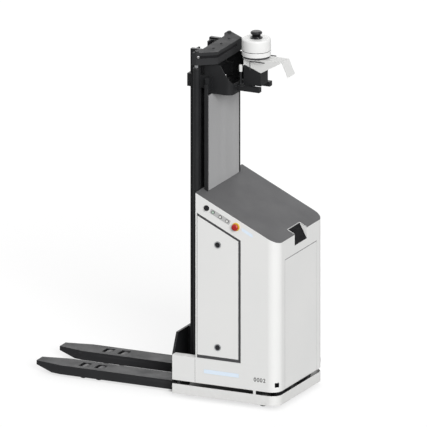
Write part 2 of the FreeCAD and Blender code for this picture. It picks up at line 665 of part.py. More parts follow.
def make_skirt():
    outside = cover_block("skirt_outside", "0", "ground_clearance", "skirt_top", "body_rear")
    inside = cover_block("skirt_inside", "cover_wall", "ground_clearance - 5", "skirt_top + 5",
                         "body_rear - 5")
    pieces = [cut("skirt_shell", outside, [inside])]
    for name, side in SIDES:
        y_span = mirrored(side, "half_width - cover_wall", "half_width")
        for label, place in (("front", "drive_middle - front_lug_inset"),
                             ("rear", "body_rear + rear_lug_inset")):
            pieces.append(box(f"skirt_lug_{label}_{name}", (place, f"{place} + lug_width"), y_span,
                              ("skirt_top - skirt_lug_lap", "base_top")))
    node("skirt", join("skirt_body", pieces))


def make_casters():
    for name, side in SIDES:
        middle = f"{side} * caster_side"
        wheel_place = "drive_middle + caster_trail"
        cheek_inside = "caster_width / 2 + caster_play"
        crown_bottom = "caster_radius * 2 + crown_play"
        pieces = [cylinder(f"caster_crown_{name}", "z", ("drive_middle", middle), "crown_radius",
                           (crown_bottom, "base_bottom - seat_gap")),
                  cylinder(f"caster_pivot_{name}", "z", ("drive_middle", middle), "caster_pin",
                           (crown_bottom, "base_top - pivot_recess")),
                  cylinder(f"caster_pin_{name}", "y", (wheel_place, "caster_radius"), "caster_axle",
                           (f"{middle} - ({cheek_inside} + caster_cheek)",
                            f"{middle} + {cheek_inside} + caster_cheek"))]
        for label, sign in SIDES:
            low, high = mirrored(sign, cheek_inside, f"{cheek_inside} + caster_cheek")
            outline = [("drive_middle - cheek_rear", crown_bottom),
                       (f"{wheel_place} - cheek_toe", "caster_radius - cheek_drop"),
                       (f"{wheel_place} + cheek_heel", "caster_radius - cheek_drop"),
                       ("drive_middle + cheek_front", f"{crown_bottom} + cheek_lap"),
                       ("drive_middle - cheek_rear", f"{crown_bottom} + cheek_lap")]
            pieces.append(prism(f"caster_cheek_{label}_{name}", "y", outline,
                                (f"{middle} + {low}", f"{middle} + {high}")))
        node(f"caster_fork_{name}", join(f"caster_fork_body_{name}", pieces))
        tread = cylinder(f"caster_tread_{name}", "y", (wheel_place, "caster_radius"), "caster_radius",
                         (f"{middle} - caster_width / 2", f"{middle} + caster_width / 2"))
        bore = cylinder(f"caster_bore_hole_{name}", "y", (wheel_place, "caster_radius"),
                        "caster_axle + running_clearance",
                        (f"{middle} - caster_width", f"{middle} + caster_width"))
        node(f"caster_wheel_{name}", cut(f"caster_wheel_body_{name}", tread, [bore]))


def make_drive_unit():
    arm_inside = "drive_width / 2 + drive_play"
    arm_outside = f"{arm_inside} + steer_plate"
    pieces = [
        cylinder("steer_disc", "z", ("drive_middle", "0"), "steer_radius",
                 ("steer_height", "steer_height + steer_plate")),
        cylinder("steer_pivot", "z", ("drive_middle", "0"), "steer_pin",
                 ("steer_height", "bridge_bottom + bridge_wall + steer_pin_show")),
        cylinder("drive_axle_pin", "y", ("drive_middle", "drive_radius"), "drive_axle",
                 (f"-({arm_outside})", arm_outside)),
    ]
    for name, side in SIDES:
        pieces.append(box(f"steer_arm_{name}",
                          ("drive_middle - steer_arm_half", "drive_middle + steer_arm_half"),
                          mirrored(side, arm_inside, arm_outside),
                          ("drive_radius - steer_arm_drop", "steer_height + weld_lap")))
    node("drive_fork", join("drive_fork_body", pieces))
    tread = cylinder("drive_tread", "y", ("drive_middle", "drive_radius"), "drive_radius",
                     ("-drive_width / 2", "drive_width / 2"))
    bore = cylinder("drive_bore", "y", ("drive_middle", "drive_radius"),
                    "drive_axle + running_clearance", ("-drive_width", "drive_width"))
    node("drive_wheel", cut("drive_wheel_body", tread, [bore]))
    motor_height = "steer_height - motor_radius - motor_drop"
    node("drive_motor", cylinder("drive_motor_body", "y", ("drive_middle", motor_height),
                                 "motor_radius", (f"-({arm_outside} + motor_length)",
                                                  f"-({arm_outside})")))


def make_inside_units():
    node("battery_pack", box("battery", ("battery_rear", "battery_rear + battery_length"),
                             ("-battery_half", "battery_half"),
                             ("base_top", "base_top + battery_height")))
    unit_top = "bulkhead_height - unit_drop"
    unit_side = "(bulkhead_half - unit_margin)"
    node("controller_box", box("controller", ("bulkhead_face", "bulkhead_face + controller_depth"),
                               (f"-{unit_side}", f"controller_width - {unit_side}"),
                               (f"{unit_top} - controller_height", unit_top)))
    tank = box("oil_tank", ("bulkhead_face", "bulkhead_face + tank_depth"),
               (f"{unit_side} - tank_width", unit_side), (f"{unit_top} - tank_height", unit_top))
    pump = cylinder("pump_motor", "z",
                    ("bulkhead_face + tank_depth / 2", f"{unit_side} - tank_width / 2"),
                    "pump_radius", (f"{unit_top} - tank_height - pump_height",
                                    f"{unit_top} - tank_height + weld_lap"))
    node("hydraulic_unit", join("hydraulic_unit_body", [tank, pump]))
    scanners = []
    for name, side in SIDES:
        scanners.append(cylinder(f"scanner_{name}", "z",
                                 ("front_face - scanner_place", f"{side} * scanner_side"),
                                 "scanner_radius", ("base_bottom - scanner_height", "base_bottom")))
    node("safety_scanners", group("safety_scanner_pair", scanners))


# ---------------------------------------------------------------- covers


def make_lower_body():
    outside = cover_block("lower_outside", "0", "base_top", "lower_top", "body_rear")
    tools = [
        cover_block("lower_inside", "cover_wall", "base_top + cover_wall", "lower_top + 5",
                    "casing_rear + cover_wall"),
        box("mast_bay", ("body_rear - 5", "casing_rear"), ("-wing_inside", "wing_inside"),
            ("base_top - 5", "lower_top + 5")),
        box("floor_opening", ("casing_rear + floor_rear_lip", "base_front + floor_front_play"),
            ("-(base_half - floor_side_lip)", "base_half - floor_side_lip"),
            ("base_top - 5", "base_top + cover_wall + 1")),
        box("front_door_low", ("front_face - cover_wall - 5", "front_face + 5"),
            ("-front_door_half - panel_gap", "front_door_half + panel_gap"),
            ("base_top + cover_wall", "lower_top + 5")),
    ]
    for name, side in SIDES:
        wing = mirrored(side, "wing_inside + cover_wall", "half_width - cover_wall")
        tools.append(box(f"wing_hollow_{name}", ("body_rear + cover_wall", "casing_rear + 20"), wing,
                         ("base_top + cover_wall", "lower_top - cover_wall")))
        band = mirrored(side, "half_width - cover_wall - 2", "half_width + 5")
        tools.append(box(f"band_slot_{name}", ("band_start", "band_end"), band,
                         ("band_height - band_width / 2", "band_height + band_width / 2")))
    node("lower_body", cut("lower_body_shell", outside, tools))


def door_outline(rear_inset, front_inset, top_inset, bottom_inset):
    """The side opening's outline, drawn in by a given amount at each edge."""
    rear = f"(door_rear + ({rear_inset}))"
    front = f"(door_front - ({front_inset}))"
    bottom = f"(door_bottom + ({bottom_inset}))"
    drop = f"side_door_drop + {top_inset}"
    return [(rear, bottom), (front, bottom), (front, lid_height(front, drop)),
            (rear, lid_height(rear, drop))]


def status_outline():
    low = "status_drop + status_width"
    return [("status_start", lid_height("status_start", low)),
            ("status_end", lid_height("status_end", low)),
            ("status_end", lid_height("status_end", "status_drop")),
            ("status_start", lid_height("status_start", "status_drop"))]


CONTROLS = (("key", "key_place", "key_stem_radius"), ("start", "start_place", "button_radius"),
            ("reset", "reset_place", "button_radius"), ("lamp", "lamp_place", "button_radius"),
            ("stop", "stop_place", "stop_stem"))


def control_height(place):
    return lid_height(place, "control_drop")


def notch_outline(drop):
    """The notch's side outline; drop lowers its sloping floor."""
    rear = "(front_face - notch_depth)"
    return [(rear, f"notch_bottom + notch_rise - {drop}"), ("front_face + 5", f"notch_bottom - {drop}"),
            ("front_face + 5", "casing_rear_height"), (rear, "casing_rear_height")]


def make_upper_casing():
    def block(name, inset, low, top_drop, rear):
        front = f"(front_face - {inset})"
        outline = [(rear, low), (front, low), (front, lid_height(front, top_drop)),
                   (rear, lid_height(rear, top_drop))]
        body = prism(name, "y", outline, (f"-(half_width - {inset})", f"half_width - {inset}"))
        return round_uprights(body, f"front_face - {inset}", f"corner_radius - {inset}")

    outside = block("casing_outside", "0", "lower_top", "lid_thickness", "casing_rear")
    inside = block("casing_inside", "cover_wall", "lower_top - 5", "-20", "(casing_rear + cover_wall)")
    shell = cut("casing_shell", outside, [inside])
    notch_rear = "(front_face - notch_depth - cover_wall)"
    notch_front = "(front_face - cover_wall)"
    cheeks = prism("notch_block", "y",
                   [(notch_rear, "notch_bottom - notch_frame"), (notch_front, "notch_bottom - notch_frame"),
                    (notch_front, lid_height(notch_front, "lid_thickness")),
                    (notch_rear, lid_height(notch_rear, "lid_thickness"))],
                   ("-(notch_half + cover_wall)", "notch_half + cover_wall"))
    tools = [prism("notch_cut", "y", notch_outline("cover_wall"), ("-notch_half", "notch_half")),
             box("front_door_high", ("front_face - cover_wall - 5", "front_face + 5"),
                 ("-front_door_half - panel_gap", "front_door_half + panel_gap"),
                 ("lower_top - 5", "front_door_top"))]
    for name, side in SIDES:
        wall = mirrored(side, "half_width - cover_wall - 2", "half_width + 5")
        tools.append(prism(f"side_opening_{name}", "y", door_outline("0", "0", "0", "0"), wall))
    right_wall = mirrored(-1, "half_width - cover_wall - 2", "half_width + 5")
    tools.append(prism("status_slot", "y", status_outline(), right_wall))
    for label, place, radius in CONTROLS:
        tools.append(cylinder(f"{label}_hole", "y", (place, control_height(place)),
                              f"{radius} + running_clearance", right_wall))
    tools.append(cylinder("left_stop_hole", "y", ("stop_place", control_height("stop_place")),
                          "stop_stem + running_clearance",
                          mirrored(1, "half_width - cover_wall - 2", "half_width + 5")))
    node("upper_casing", cut("upper_casing_body", join("casing_with_cheeks", [shell, cheeks]), tools))


def make_lid():
    slab_outline = [("casing_rear", lid_height("casing_rear", "lid_thickness")),
                    ("front_face", lid_height("front_face", "lid_thickness")),
                    ("front_face", lid_height("front_face")), ("casing_rear", lid_height("casing_rear"))]
    slab = prism("lid_slab", "y", slab_outline, ("-half_width", "half_width"))
    column = prism("lid_column", "y",
                   [("casing_rear", "notch_bottom"), ("front_face", "notch_bottom"),
                    ("front_face", "casing_rear_height + 5"), ("casing_rear", "casing_rear_height + 5")],
                   ("-half_width", "half_width"))
    round_uprights(column, "front_face", "corner_radius")
    sheet_metal = doc.addObject("Part::Common", "lid_sheet")
    sheet_metal.Base = slab
    sheet_metal.Tool = column
    notch = prism("lid_notch", "y", notch_outline("cover_wall"), ("-notch_half", "notch_half"))
    node("lid", cut("lid_body", sheet_metal, [notch]))
    rear = "(front_face - notch_depth)"
    window = prism("notch_pane", "y",
                   [(rear, "notch_bottom + notch_rise - cover_wall"),
                    ("front_face", "notch_bottom - cover_wall + notch_rise * 5 / (notch_depth + 5)"),
                    ("front_face", "notch_bottom + notch_rise * 5 / (notch_depth + 5)"),
                    (rear, "notch_bottom + notch_rise")],
                   ("-(notch_half - seat_gap)", "notch_half - seat_gap"))
    node("notch_window", window)


def make_front_panel():
    skin = box("front_skin", ("front_face - cover_wall", "front_face"),
               ("-front_door_half", "front_door_half"),
               ("base_top + cover_wall + panel_gap", "front_door_top - panel_gap"))
    backing = box("front_backing",
                  ("front_face - cover_wall * 2 - seat_gap", "front_face - cover_wall"),
                  ("-front_door_half + backing_inset", "front_door_half - backing_inset"),
                  ("base_top + cover_wall + panel_gap + backing_inset",
                   "front_door_top - panel_gap - backing_inset"))
    lips = box("front_lips",
               ("front_face - cover_wall * 2 - seat_gap", "front_face - cover_wall - seat_gap"),
               ("-front_door_half - door_lip", "front_door_half + door_lip"),
               ("base_top + cover_wall + panel_gap + backing_inset", "front_door_top + door_lip"))
    node("front_panel", join("front_panel_body", [skin, backing, lips]))


def make_side_panels():
    seals = []
    for name, side in SIDES:
        depth = mirrored(side, "seal_inside", "seal_outside")
        play = "seat_gap"
        frame = prism(f"seal_outer_{name}", "y", door_outline(play, play, play, play), depth)
        hole = prism(f"seal_hole_{name}", "y",
                     door_outline("rear_seal", "side_seal", "side_seal", "sill_seal"),
                     mirrored(side, "seal_inside - 5", "seal_outside + 5"))
        seals.append(cut(f"panel_seal_{name}", frame, [hole]))
        skin = prism(f"panel_skin_{name}", "y",
                     door_outline("rear_seal + seat_gap", "side_seal + seat_gap",
                                  "side_seal + seat_gap", "sill_seal + seat_gap"),
                     mirrored(side, "half_width - cover_wall * 2", "half_width - panel_recess"))
        bores = []
        for label in ("lower_lock", "upper_lock"):
            bores.append(cylinder(f"{label}_bore_{name}", "y", ("lock_place", label),
                                  "lock_stem + running_clearance",
                                  mirrored(side, "half_width - 20", "half_width + 5")))
        node(f"side_panel_{name}", cut(f"side_panel_body_{name}", skin, bores))
        for label in ("lower", "upper"):
            height = f"{label}_lock"
            head = cylinder(f"lock_head_{label}_{name}", "y", ("lock_place", height), "lock_radius",
                            mirrored(side, "half_width - panel_recess + seat_gap",
                                     "half_width + lock_show"))
            stem = cylinder(f"lock_stem_{label}_{name}", "y", ("lock_place", height), "lock_stem",
                            mirrored(side, "half_width - cover_wall * 2 - cam_gap - cam_wall",
                                     "half_width"))
            cam = box(f"lock_cam_{label}_{name}", ("lock_place - lock_stem", "lock_place + cam_reach"),
                      mirrored(side, "half_width - cover_wall * 2 - cam_gap - cam_wall",
                               "half_width - cover_wall * 2 - cam_gap"),
                      (f"{height} - lock_stem", f"{height} + lock_stem"))
            slot = box(f"lock_slot_{label}_{name}",
                       ("lock_place - slot_half_length", "lock_place + slot_half_length"),
                       mirrored(side, "half_width + lock_show - slot_depth", "half_width + 5"),
                       (f"{height} - slot_half_width", f"{height} + slot_half_width"))
            body = join(f"lock_solid_{label}_{name}", [head, stem, cam])
            node(f"panel_lock_{label}_{name}", cut(f"panel_lock_body_{label}_{name}", body, [slot]))
    node("panel_seals", group("panel_seal_pair", seals))


def make_light_windows():
    panes = []
    for name, side in SIDES:
        panes.append(box(f"light_band_{name}", ("band_start + seat_gap", "band_end - seat_gap"),
                         mirrored(side, "half_width - cover_wall - pane_depth",
                                  "half_width - pane_recess"),
                         ("band_height - band_width / 2 + seat_gap",
                          "band_height + band_width / 2 - seat_gap")))
    low = "status_drop + status_width - seat_gap"
    high = "status_drop + seat_gap"
    rear = "(status_start + seat_gap)"
    front = "(status_end - seat_gap)"
    panes.append(prism("status_pane", "y",
                       [(rear, lid_height(rear, low)), (front, lid_height(front, low)),
                        (front, lid_height(front, high)), (rear, lid_height(rear, high))],
                       mirrored(-1, "half_width - cover_wall - pane_depth",
                                  "half_width - pane_recess")))
    node("light_windows", group("light_window_set", panes))


def make_controls():
    face = "half_width"
    for label, place in (("start", "start_place"), ("reset", "reset_place"), ("lamp", "lamp_place")):
        node(f"{label}_button",
             cylinder(f"{label}_button_body", "y", (place, control_height(place)), "button_radius",
                      mirrored(-1, f"{face} - stem_length", f"{face} + button_show")))
    place = ("stop_place", control_height("stop_place"))
    collars = []
    for name, side in SIDES:
        collar = cylinder(f"stop_collar_ring_{name}", "y", place, "stop_ring",
                          mirrored(side, face, f"{face} + collar_height"))
        collar_bore = cylinder(f"stop_collar_bore_{name}", "y", place,
                               "stop_stem + running_clearance",
                               mirrored(side, f"{face} - 5", f"{face} + collar_height + 5"))
        collars.append(cut(f"stop_collar_{name}", collar, [collar_bore]))
        under_head = f"{face} + collar_height + stop_travel"
        head = cylinder(f"stop_head_{name}", "y", place, "stop_radius",
                        mirrored(side, under_head, f"{under_head} + stop_height"))
        stem = cylinder(f"stop_stem_{name}", "y", place, "stop_stem",
                        mirrored(side, f"{face} - stem_length", f"{under_head} + weld_lap"))
        node(f"stop_button_{name}", join(f"stop_button_body_{name}", [head, stem]))
    node("stop_collars", group("stop_collar_pair", collars))
    place = ("key_place", control_height("key_place"))
    dial = cylinder("key_dial", "y", place, "key_radius",
                    mirrored(-1, f"{face} + seat_gap", f"{face} + key_show"))
    key_stem = cylinder("key_stem", "y", place, "key_stem_radius",
                        mirrored(-1, f"{face} - stem_length", f"{face} + 2"))
    key_bar = box("key_bar", ("key_place - key_grip_half", "key_place + key_grip_half"),
                  mirrored(-1, f"{face} + key_show - weld_lap", f"{face} + key_grip_show"),
                  (f"{place[1]} - key_grip_reach", f"{place[1]} + key_grip_reach"))
    node("key_switch", join("key_switch_body", [dial, key_stem, key_bar]))


# ---------------------------------------------------------------- mast and lift


def channel(name, side, rear, outside, flange, low, high):
    """A mast channel that opens towards the centre plane."""
    front = f"{rear} + mast_depth"
    whole = box(f"{name}_bar", (rear, front), mirrored(side, f"{outside} - {flange}", outside),
                (low, high))
    hollow = box(f"{name}_hollow", (f"{rear} + mast_wall", f"{front} - mast_wall"),
                 mirrored(side, f"{outside} - {flange} - 5", f"{outside} - mast_wall"),
                 (f"({low}) - 5", f"({high}) + 5"))
    return cut(name, whole, [hollow])


def make_outer_mast():
    pieces = []
    ties = (("low", "base_top + low_tie"), ("middle", "base_top + middle_tie"),
            ("high", "bracket_bottom + high_tie"))
    for name, side in SIDES:
        pieces.append(channel(f"outer_channel_{name}", side, "outer_rear", "mast_outer",
                              "mast_flange", "base_top", "mast_top"))
        for label, height in ties:
            pieces.append(box(f"tie_foot_{label}_{name}", ("outer_front - mast_wall", "tie_rear"),
                              mirrored(side, "outer_lip", "outer_web"), (height, f"{height} + tie_height")))
        anchor_y = mirrored(side, "sheave_side - chain_width / 2", "sheave_side + chain_width / 2")
        anchor_x = "sheave_place + chain_reach"
        pieces.append(box(f"chain_anchor_{name}", (f"{anchor_x} - chain_depth / 2", "tie_rear"),
                          anchor_y, ("anchor_bottom", "anchor_bottom + anchor_height")))
    for label, height in ties:
        pieces.append(box(f"outer_tie_{label}", ("tie_rear", "tie_rear + mast_wall"),
                          ("-mast_outer", "mast_outer"), (height, f"{height} + tie_height")))
    node("outer_mast", join("outer_mast_weldment", pieces))


def make_inner_mast():
    pieces = []
    for name, side in SIDES:
        pieces.append(channel(f"inner_channel_{name}", side, "inner_rear", "inner_outer",
                              "inner_flange", "inner_bottom", "yoke_top - inner_mast_drop"))
    for label, height in (("low", "inner_bottom + inner_low_tie"),
                          ("high", "sheave_height - inner_high_tie")):
        pieces.append(box(f"inner_tie_{label}", ("inner_front - inner_tie_wall", "inner_front"),
                          ("-(inner_lip + weld_lap)", "inner_lip + weld_lap"),
                          (height, f"{height} + tie_height")))
    bore = cylinder("sheave_shaft_bore", "y", ("sheave_place", "sheave_height"),
                    "chain_pin + running_clearance", ("-inner_outer - 1", "inner_outer + 1"))
    node("inner_mast", cut("inner_mast_body", join("inner_mast_weldment", pieces), [bore]))
    pads = []
    for name, side in SIDES:
        for label, height in (("low", "inner_bottom + low_pad"), ("high", "inner_bottom + high_pad")):
            pads.append(box(f"mast_pad_{label}_{name}",
                            ("outer_rear + mast_wall + seat_gap", "outer_front - mast_wall - seat_gap"),
                            mirrored(side, "inner_outer", "outer_web - seat_gap"),
                            (height, f"{height} + guide_height")))
    node("mast_guides", group("mast_guide_set", pads))


def make_yoke():
    end_rear = "(cylinder_place - cylinder_radius - yoke_rear_margin)"
    outline = [("yoke_front", "-yoke_half"), ("yoke_front", "yoke_half"),
               ("cylinder_place + yoke_end_depth", "yoke_end"), (end_rear, "yoke_end"),
               (end_rear, "cylinder_side - cylinder_radius - yoke_step_play"),
               ("inner_front", "mast_outer + yoke_root_play"),
               ("inner_front", "-(mast_outer + yoke_root_play)"),
               (end_rear, "-(cylinder_side - cylinder_radius - yoke_step_play)"),
               (end_rear, "-yoke_end"), ("cylinder_place + yoke_end_depth", "-yoke_end")]
    whole = prism("yoke_bar", "z", outline, ("yoke_bottom", "yoke_top"))
    middle = "(yoke_bottom + groove_rise)"
    groove_span = (f"{middle} - groove_height / 2", f"{middle} + groove_height / 2")
    inside = [("yoke_front - yoke_groove", "-(yoke_half - yoke_groove / 2)"),
              ("yoke_front - yoke_groove", "yoke_half - groove_end"),
              ("yoke_front + 5", "yoke_half - groove_end"),
              ("yoke_front + 5", "-(yoke_half + 5)"), ("cylinder_place + 14", "-(yoke_end + 5)"),
              ("cylinder_place + 4", "-(yoke_end - 3)")]
    groove = prism("yoke_slot", "z", inside, groove_span)
    node("yoke", cut("yoke_body", whole, [groove]))


def make_cylinders():
    tubes = []
    rods = []
    for name, side in SIDES:
        centre = ("cylinder_place", f"{side} * cylinder_side")
        tube = cylinder(f"lift_tube_{name}", "z", centre, "cylinder_radius", ("base_top", "cylinder_top"))
        bore = cylinder(f"lift_bore_{name}", "z", centre, "cylinder_bore",
                        ("base_top + cylinder_floor", "cylinder_top + 5"))
        tubes.append(cut(f"lift_cylinder_{name}", tube, [bore]))
        rod = cylinder(f"rod_{name}", "z", centre, "rod_radius", ("yoke_bottom - rod_length", "yoke_bottom"))
        piston = cylinder(f"piston_{name}", "z", centre, "cylinder_bore - running_clearance",
                          ("yoke_bottom - rod_length - piston_height", "yoke_bottom - rod_length + weld_lap"))
        rods.append(join(f"lift_rod_{name}", [rod, piston]))
    node("lift_cylinders", group("lift_cylinder_pair", tubes))
    node("lift_rods", group("lift_rod_pair", rods))


def make_chains():
    shaft = cylinder("sheave_shaft", "y", ("sheave_place", "sheave_height"), "chain_pin",
                     ("-inner_outer", "inner_outer"))
    wheels = [shaft]
    lift_runs = []
    anchor_runs = []
    seat = "(sheave_radius + seat_gap)"
    for name, side in SIDES:
        wheel_y = mirrored(side, "sheave_side - sheave_width / 2", "sheave_side + sheave_width / 2")
        chain_y = mirrored(side, "sheave_side - chain_width / 2", "sheave_side + chain_width / 2")
        wheels.append(cylinder(f"sheave_{name}", "y", ("sheave_place", "sheave_height"),
                               "sheave_radius", wheel_y))
        rear = f"sheave_place - {seat}"
        front = f"sheave_place + {seat}"
        wrap = cylinder(f"wrap_{name}", "y", ("sheave_place", "sheave_height"),
                        f"{seat} + chain_depth", chain_y)
        eye = cylinder(f"wrap_eye_{name}", "y", ("sheave_place", "sheave_height"), seat,
                       mirrored(side, "sheave_side - chain_width", "sheave_side + chain_width"))
        below = box(f"wrap_below_{name}", ("sheave_place - 60", "sheave_place + 60"),
                    mirrored(side, "sheave_side - chain_width", "sheave_side + chain_width"),
                    ("sheave_height - 60", "sheave_height"))
        arc = cut(f"chain_wrap_{name}", wrap, [eye, below])
        run = box(f"lift_run_{name}", (f"{rear} - chain_depth", rear), chain_y,
                  ("carriage_height + chain_bar_rise", "sheave_height"))
        lift_runs.append(join(f"lift_chain_{name}", [arc, run]))
        anchor_runs.append(box(f"anchor_run_{name}", (front, f"{front} + chain_depth"), chain_y,
                               ("anchor_bottom + anchor_height", "sheave_height")))
    node("chain_wheels", join("chain_wheel_shaft", wheels))
    node("lift_chains", group("lift_chain_pair", lift_runs))
    node("anchor_chains", group("anchor_chain_pair", anchor_runs))


def make_carriage():
    plate = prism("carriage_board", "x",
                  [("-carriage_half", "fork_top - fork_wall"), ("carriage_half", "fork_top - fork_wall"),
                   ("carriage_half", "carriage_shoulder"), ("carriage_top_half", "carriage_height"),
                   ("-carriage_top_half", "carriage_height"), ("-carriage_half", "carriage_shoulder")],
                  ("carriage_rear", "carriage_front"))
    pieces = [plate]
    lug_top = "carriage_height"
    for name, side in SIDES:
        pieces.append(box(f"carriage_lug_{name}", ("carriage_front - 1", "lug_front"),
                          mirrored(side, "lug_inside", "lug_outside"),
                          (f"{lug_top} - lug_height", lug_top)))
    chain_rear = "sheave_place - sheave_radius - seat_gap - chain_depth"
    pieces.append(box("chain_bar", (f"{chain_rear} - chain_bar_margin",
                                    f"{chain_rear} + chain_depth + chain_bar_margin"),
                      ("-lug_inside - weld_lap", "lug_inside + weld_lap"),
                      (f"{lug_top} - chain_bar_drop", f"{lug_top} + chain_bar_rise")))
    slit = box("sight_slit", ("carriage_rear - 5", "carriage_front + 5"),
               ("-(slit_inset + slit_width)", "-slit_inset"),
               ("carriage_shoulder - slit_drop - slit_height", "carriage_shoulder - slit_drop"))
    node("carriage_plate", cut("carriage_body", join("carriage_weldment", pieces), [slit]))
    pads = []
    for name, side in SIDES:
        for label, drop in (("low", "lug_height - pad_inset"), ("high", "guide_height + pad_inset")):
            pads.append(box(f"carriage_pad_{label}_{name}",
                            ("inner_rear + mast_wall + seat_gap", "inner_front - mast_wall - seat_gap"),
                            mirrored(side, "lug_outside", "inner_web - seat_gap"),
                            (f"{lug_top} - ({drop})", f"{lug_top} - ({drop}) + guide_height")))
    node("carriage_guides", group("carriage_guide_set", pads))


def make_forks():
    for name, side in SIDES:
        middle = f"({side} * fork_middle)"

        def plan(inset, root):
            wide = f"(fork_width / 2 - {inset})"
            narrow = f"(tip_width / 2 - {inset})"
            tip = f"fork_tip + {inset}"
            start = "fork_tip + fork_taper"
            return [(root, f"{middle} - {wide}"), (root, f"{middle} + {wide}"),
                    (start, f"{middle} + {wide}"), (tip, f"{middle} + {narrow}"),
                    (tip, f"{middle} - {narrow}"), (start, f"{middle} - {wide}")]

        outside = prism(f"fork_outside_{name}", "z", plan("0", "carriage_front"),
                        ("fork_bottom", "fork_top"))
        tools = [prism(f"fork_inside_{name}", "z", plan("fork_wall", "carriage_front + 5"),
                       ("fork_bottom - 5", "fork_top - fork_wall"))]
        wide = (f"{middle} - fork_width", f"{middle} + fork_width")
        tools.append(box(f"plate_seat_{name}", ("carriage_rear", "carriage_front + 5"), wide,
                         ("fork_top - fork_wall", "fork_top + 5")))
        tools.append(prism(f"tip_slope_{name}", "y",
                           [("fork_tip - 5", "fork_bottom - 5"),
                            ("fork_tip + tip_slope_length", "fork_bottom - 5"),
                            ("fork_tip + tip_slope_length", "fork_bottom"),
                            ("fork_tip - 5", "fork_bottom + tip_rise")], wide))
        for stage in ("front_roller", "rear_roller"):
            place = f"leg_tip + {stage}"
            half = "roller_width / 2 + roller_play + window_play"
            tools.append(box(f"window_{stage}_{name}",
                             (f"{place} - slot_length / 2", f"{place} + slot_length / 2"),
                             (f"{middle} - ({half})", f"{middle} + {half}"),
                             ("fork_top - fork_wall - 1", "fork_top + 1")))
        node(f"fork_{name}", cut(f"fork_body_{name}", outside, tools))


# ---------------------------------------------------------------- guard and sensor head


def make_guard():
    pieces = []
    rear = "(guard_place + guard_wall / 2 - post_depth)"
    front = "(guard_place + guard_wall / 2)"
    for name, side in SIDES:
        post = prism(f"guard_post_{name}", "y",
                     [(rear, lid_height(rear)), (front, lid_height(front)), (front, "guard_top"),
                      (rear, "guard_top")], mirrored(side, "post_inside", "post_inside + post_width"))
        pieces.append(post)
        for label in ("lower_clips", "upper_clips"):
            pieces.append(box(f"{label}_{name}", (f"{rear} + clip_inset",
                                                 "guard_place - guard_wall / 2 - seat_gap"),
                              mirrored(side, "guard_half - clip_lap", "post_inside + weld_lap"),
                              (label, f"{label} + clip_height")))
    rail_rear = "(guard_place - guard_wall / 2 - rail_reach)"
    rail_front = "(guard_place - guard_wall / 2 - seat_gap)"
    pieces.append(prism("guard_rail", "y",
                        [(rail_rear, lid_height(rail_rear)), (rail_front, lid_height(rail_front)),
                         (rail_front, lid_height(rail_front, "-rail_height")),
                         (rail_rear, lid_height(rail_rear, "-rail_height"))],
                        ("-(post_inside + weld_lap)", "post_inside + weld_lap")))
    node("guard_frame", join("guard_frame_body", pieces))
    pane_rear = "(guard_place - guard_wall / 2)"
    node("guard_screen", prism("guard_pane", "y",
                               [(pane_rear, lid_height(pane_rear, "-seat_gap")),
                                (front, lid_height(pane_rear, "-seat_gap")),
                                (front, "bracket_bottom - seat_gap"),
                                (pane_rear, "bracket_bottom - seat_gap")],
                               ("-guard_half", "guard_half")))


def make_lidar_bracket():
    outline = [("bracket_rear", "bracket_bottom"), ("bracket_front", "bracket_bottom"),
               ("bracket_front", "bracket_bottom + bracket_step"), ("bracket_top_front", "bracket_top"),
               ("bracket_rear", "bracket_top")]
    profile = prism("bracket_profile", "y", outline, ("-bracket_half", "bracket_half"))

    def column(name, inset, rear, low):
        front = f"bracket_front - {inset}"
        plan = [(rear, low), (front, low), (front, "bracket_top + 5"), (rear, "bracket_top + 5")]
        body = prism(name, "y", plan, (f"-(bracket_half - {inset})", f"bracket_half - {inset}"))
        return round_uprights(body, front, f"bracket_corner - {inset}")

    whole = doc.addObject("Part::Common", "bracket_outside")
    whole.Base = profile
    whole.Tool = column("bracket_column", "0", "bracket_rear", "bracket_bottom")
    hollow = column("bracket_inside", "bracket_wall", "bracket_rear - 5", "bracket_bottom + bracket_wall")
    pieces = [cut("bracket_shell", whole, [hollow])]
    clamp_span = ("clamp_bottom", "clamp_bottom + clamp_height")
    for name, side in SIDES:
        pieces.append(box(f"clamp_side_{name}", ("outer_rear - clamp_wall", "bracket_rear + clamp_lap"),
                          mirrored(side, "mast_outer + seat_gap", "bracket_half"), clamp_span))
        pieces.append(box(f"clamp_rear_{name}", ("outer_rear - clamp_wall", "outer_rear - seat_gap"),
                          mirrored(side, "outer_lip", "bracket_half"), clamp_span))
        pieces.append(box(f"clamp_arm_{name}",
                          ("guard_place + guard_wall / 2 - post_depth", "guard_place + guard_wall / 2"),
                          mirrored(side, "bracket_half - weld_lap", "post_inside - seat_gap"), clamp_span))
    node("lidar_bracket", join("lidar_bracket_body", pieces))


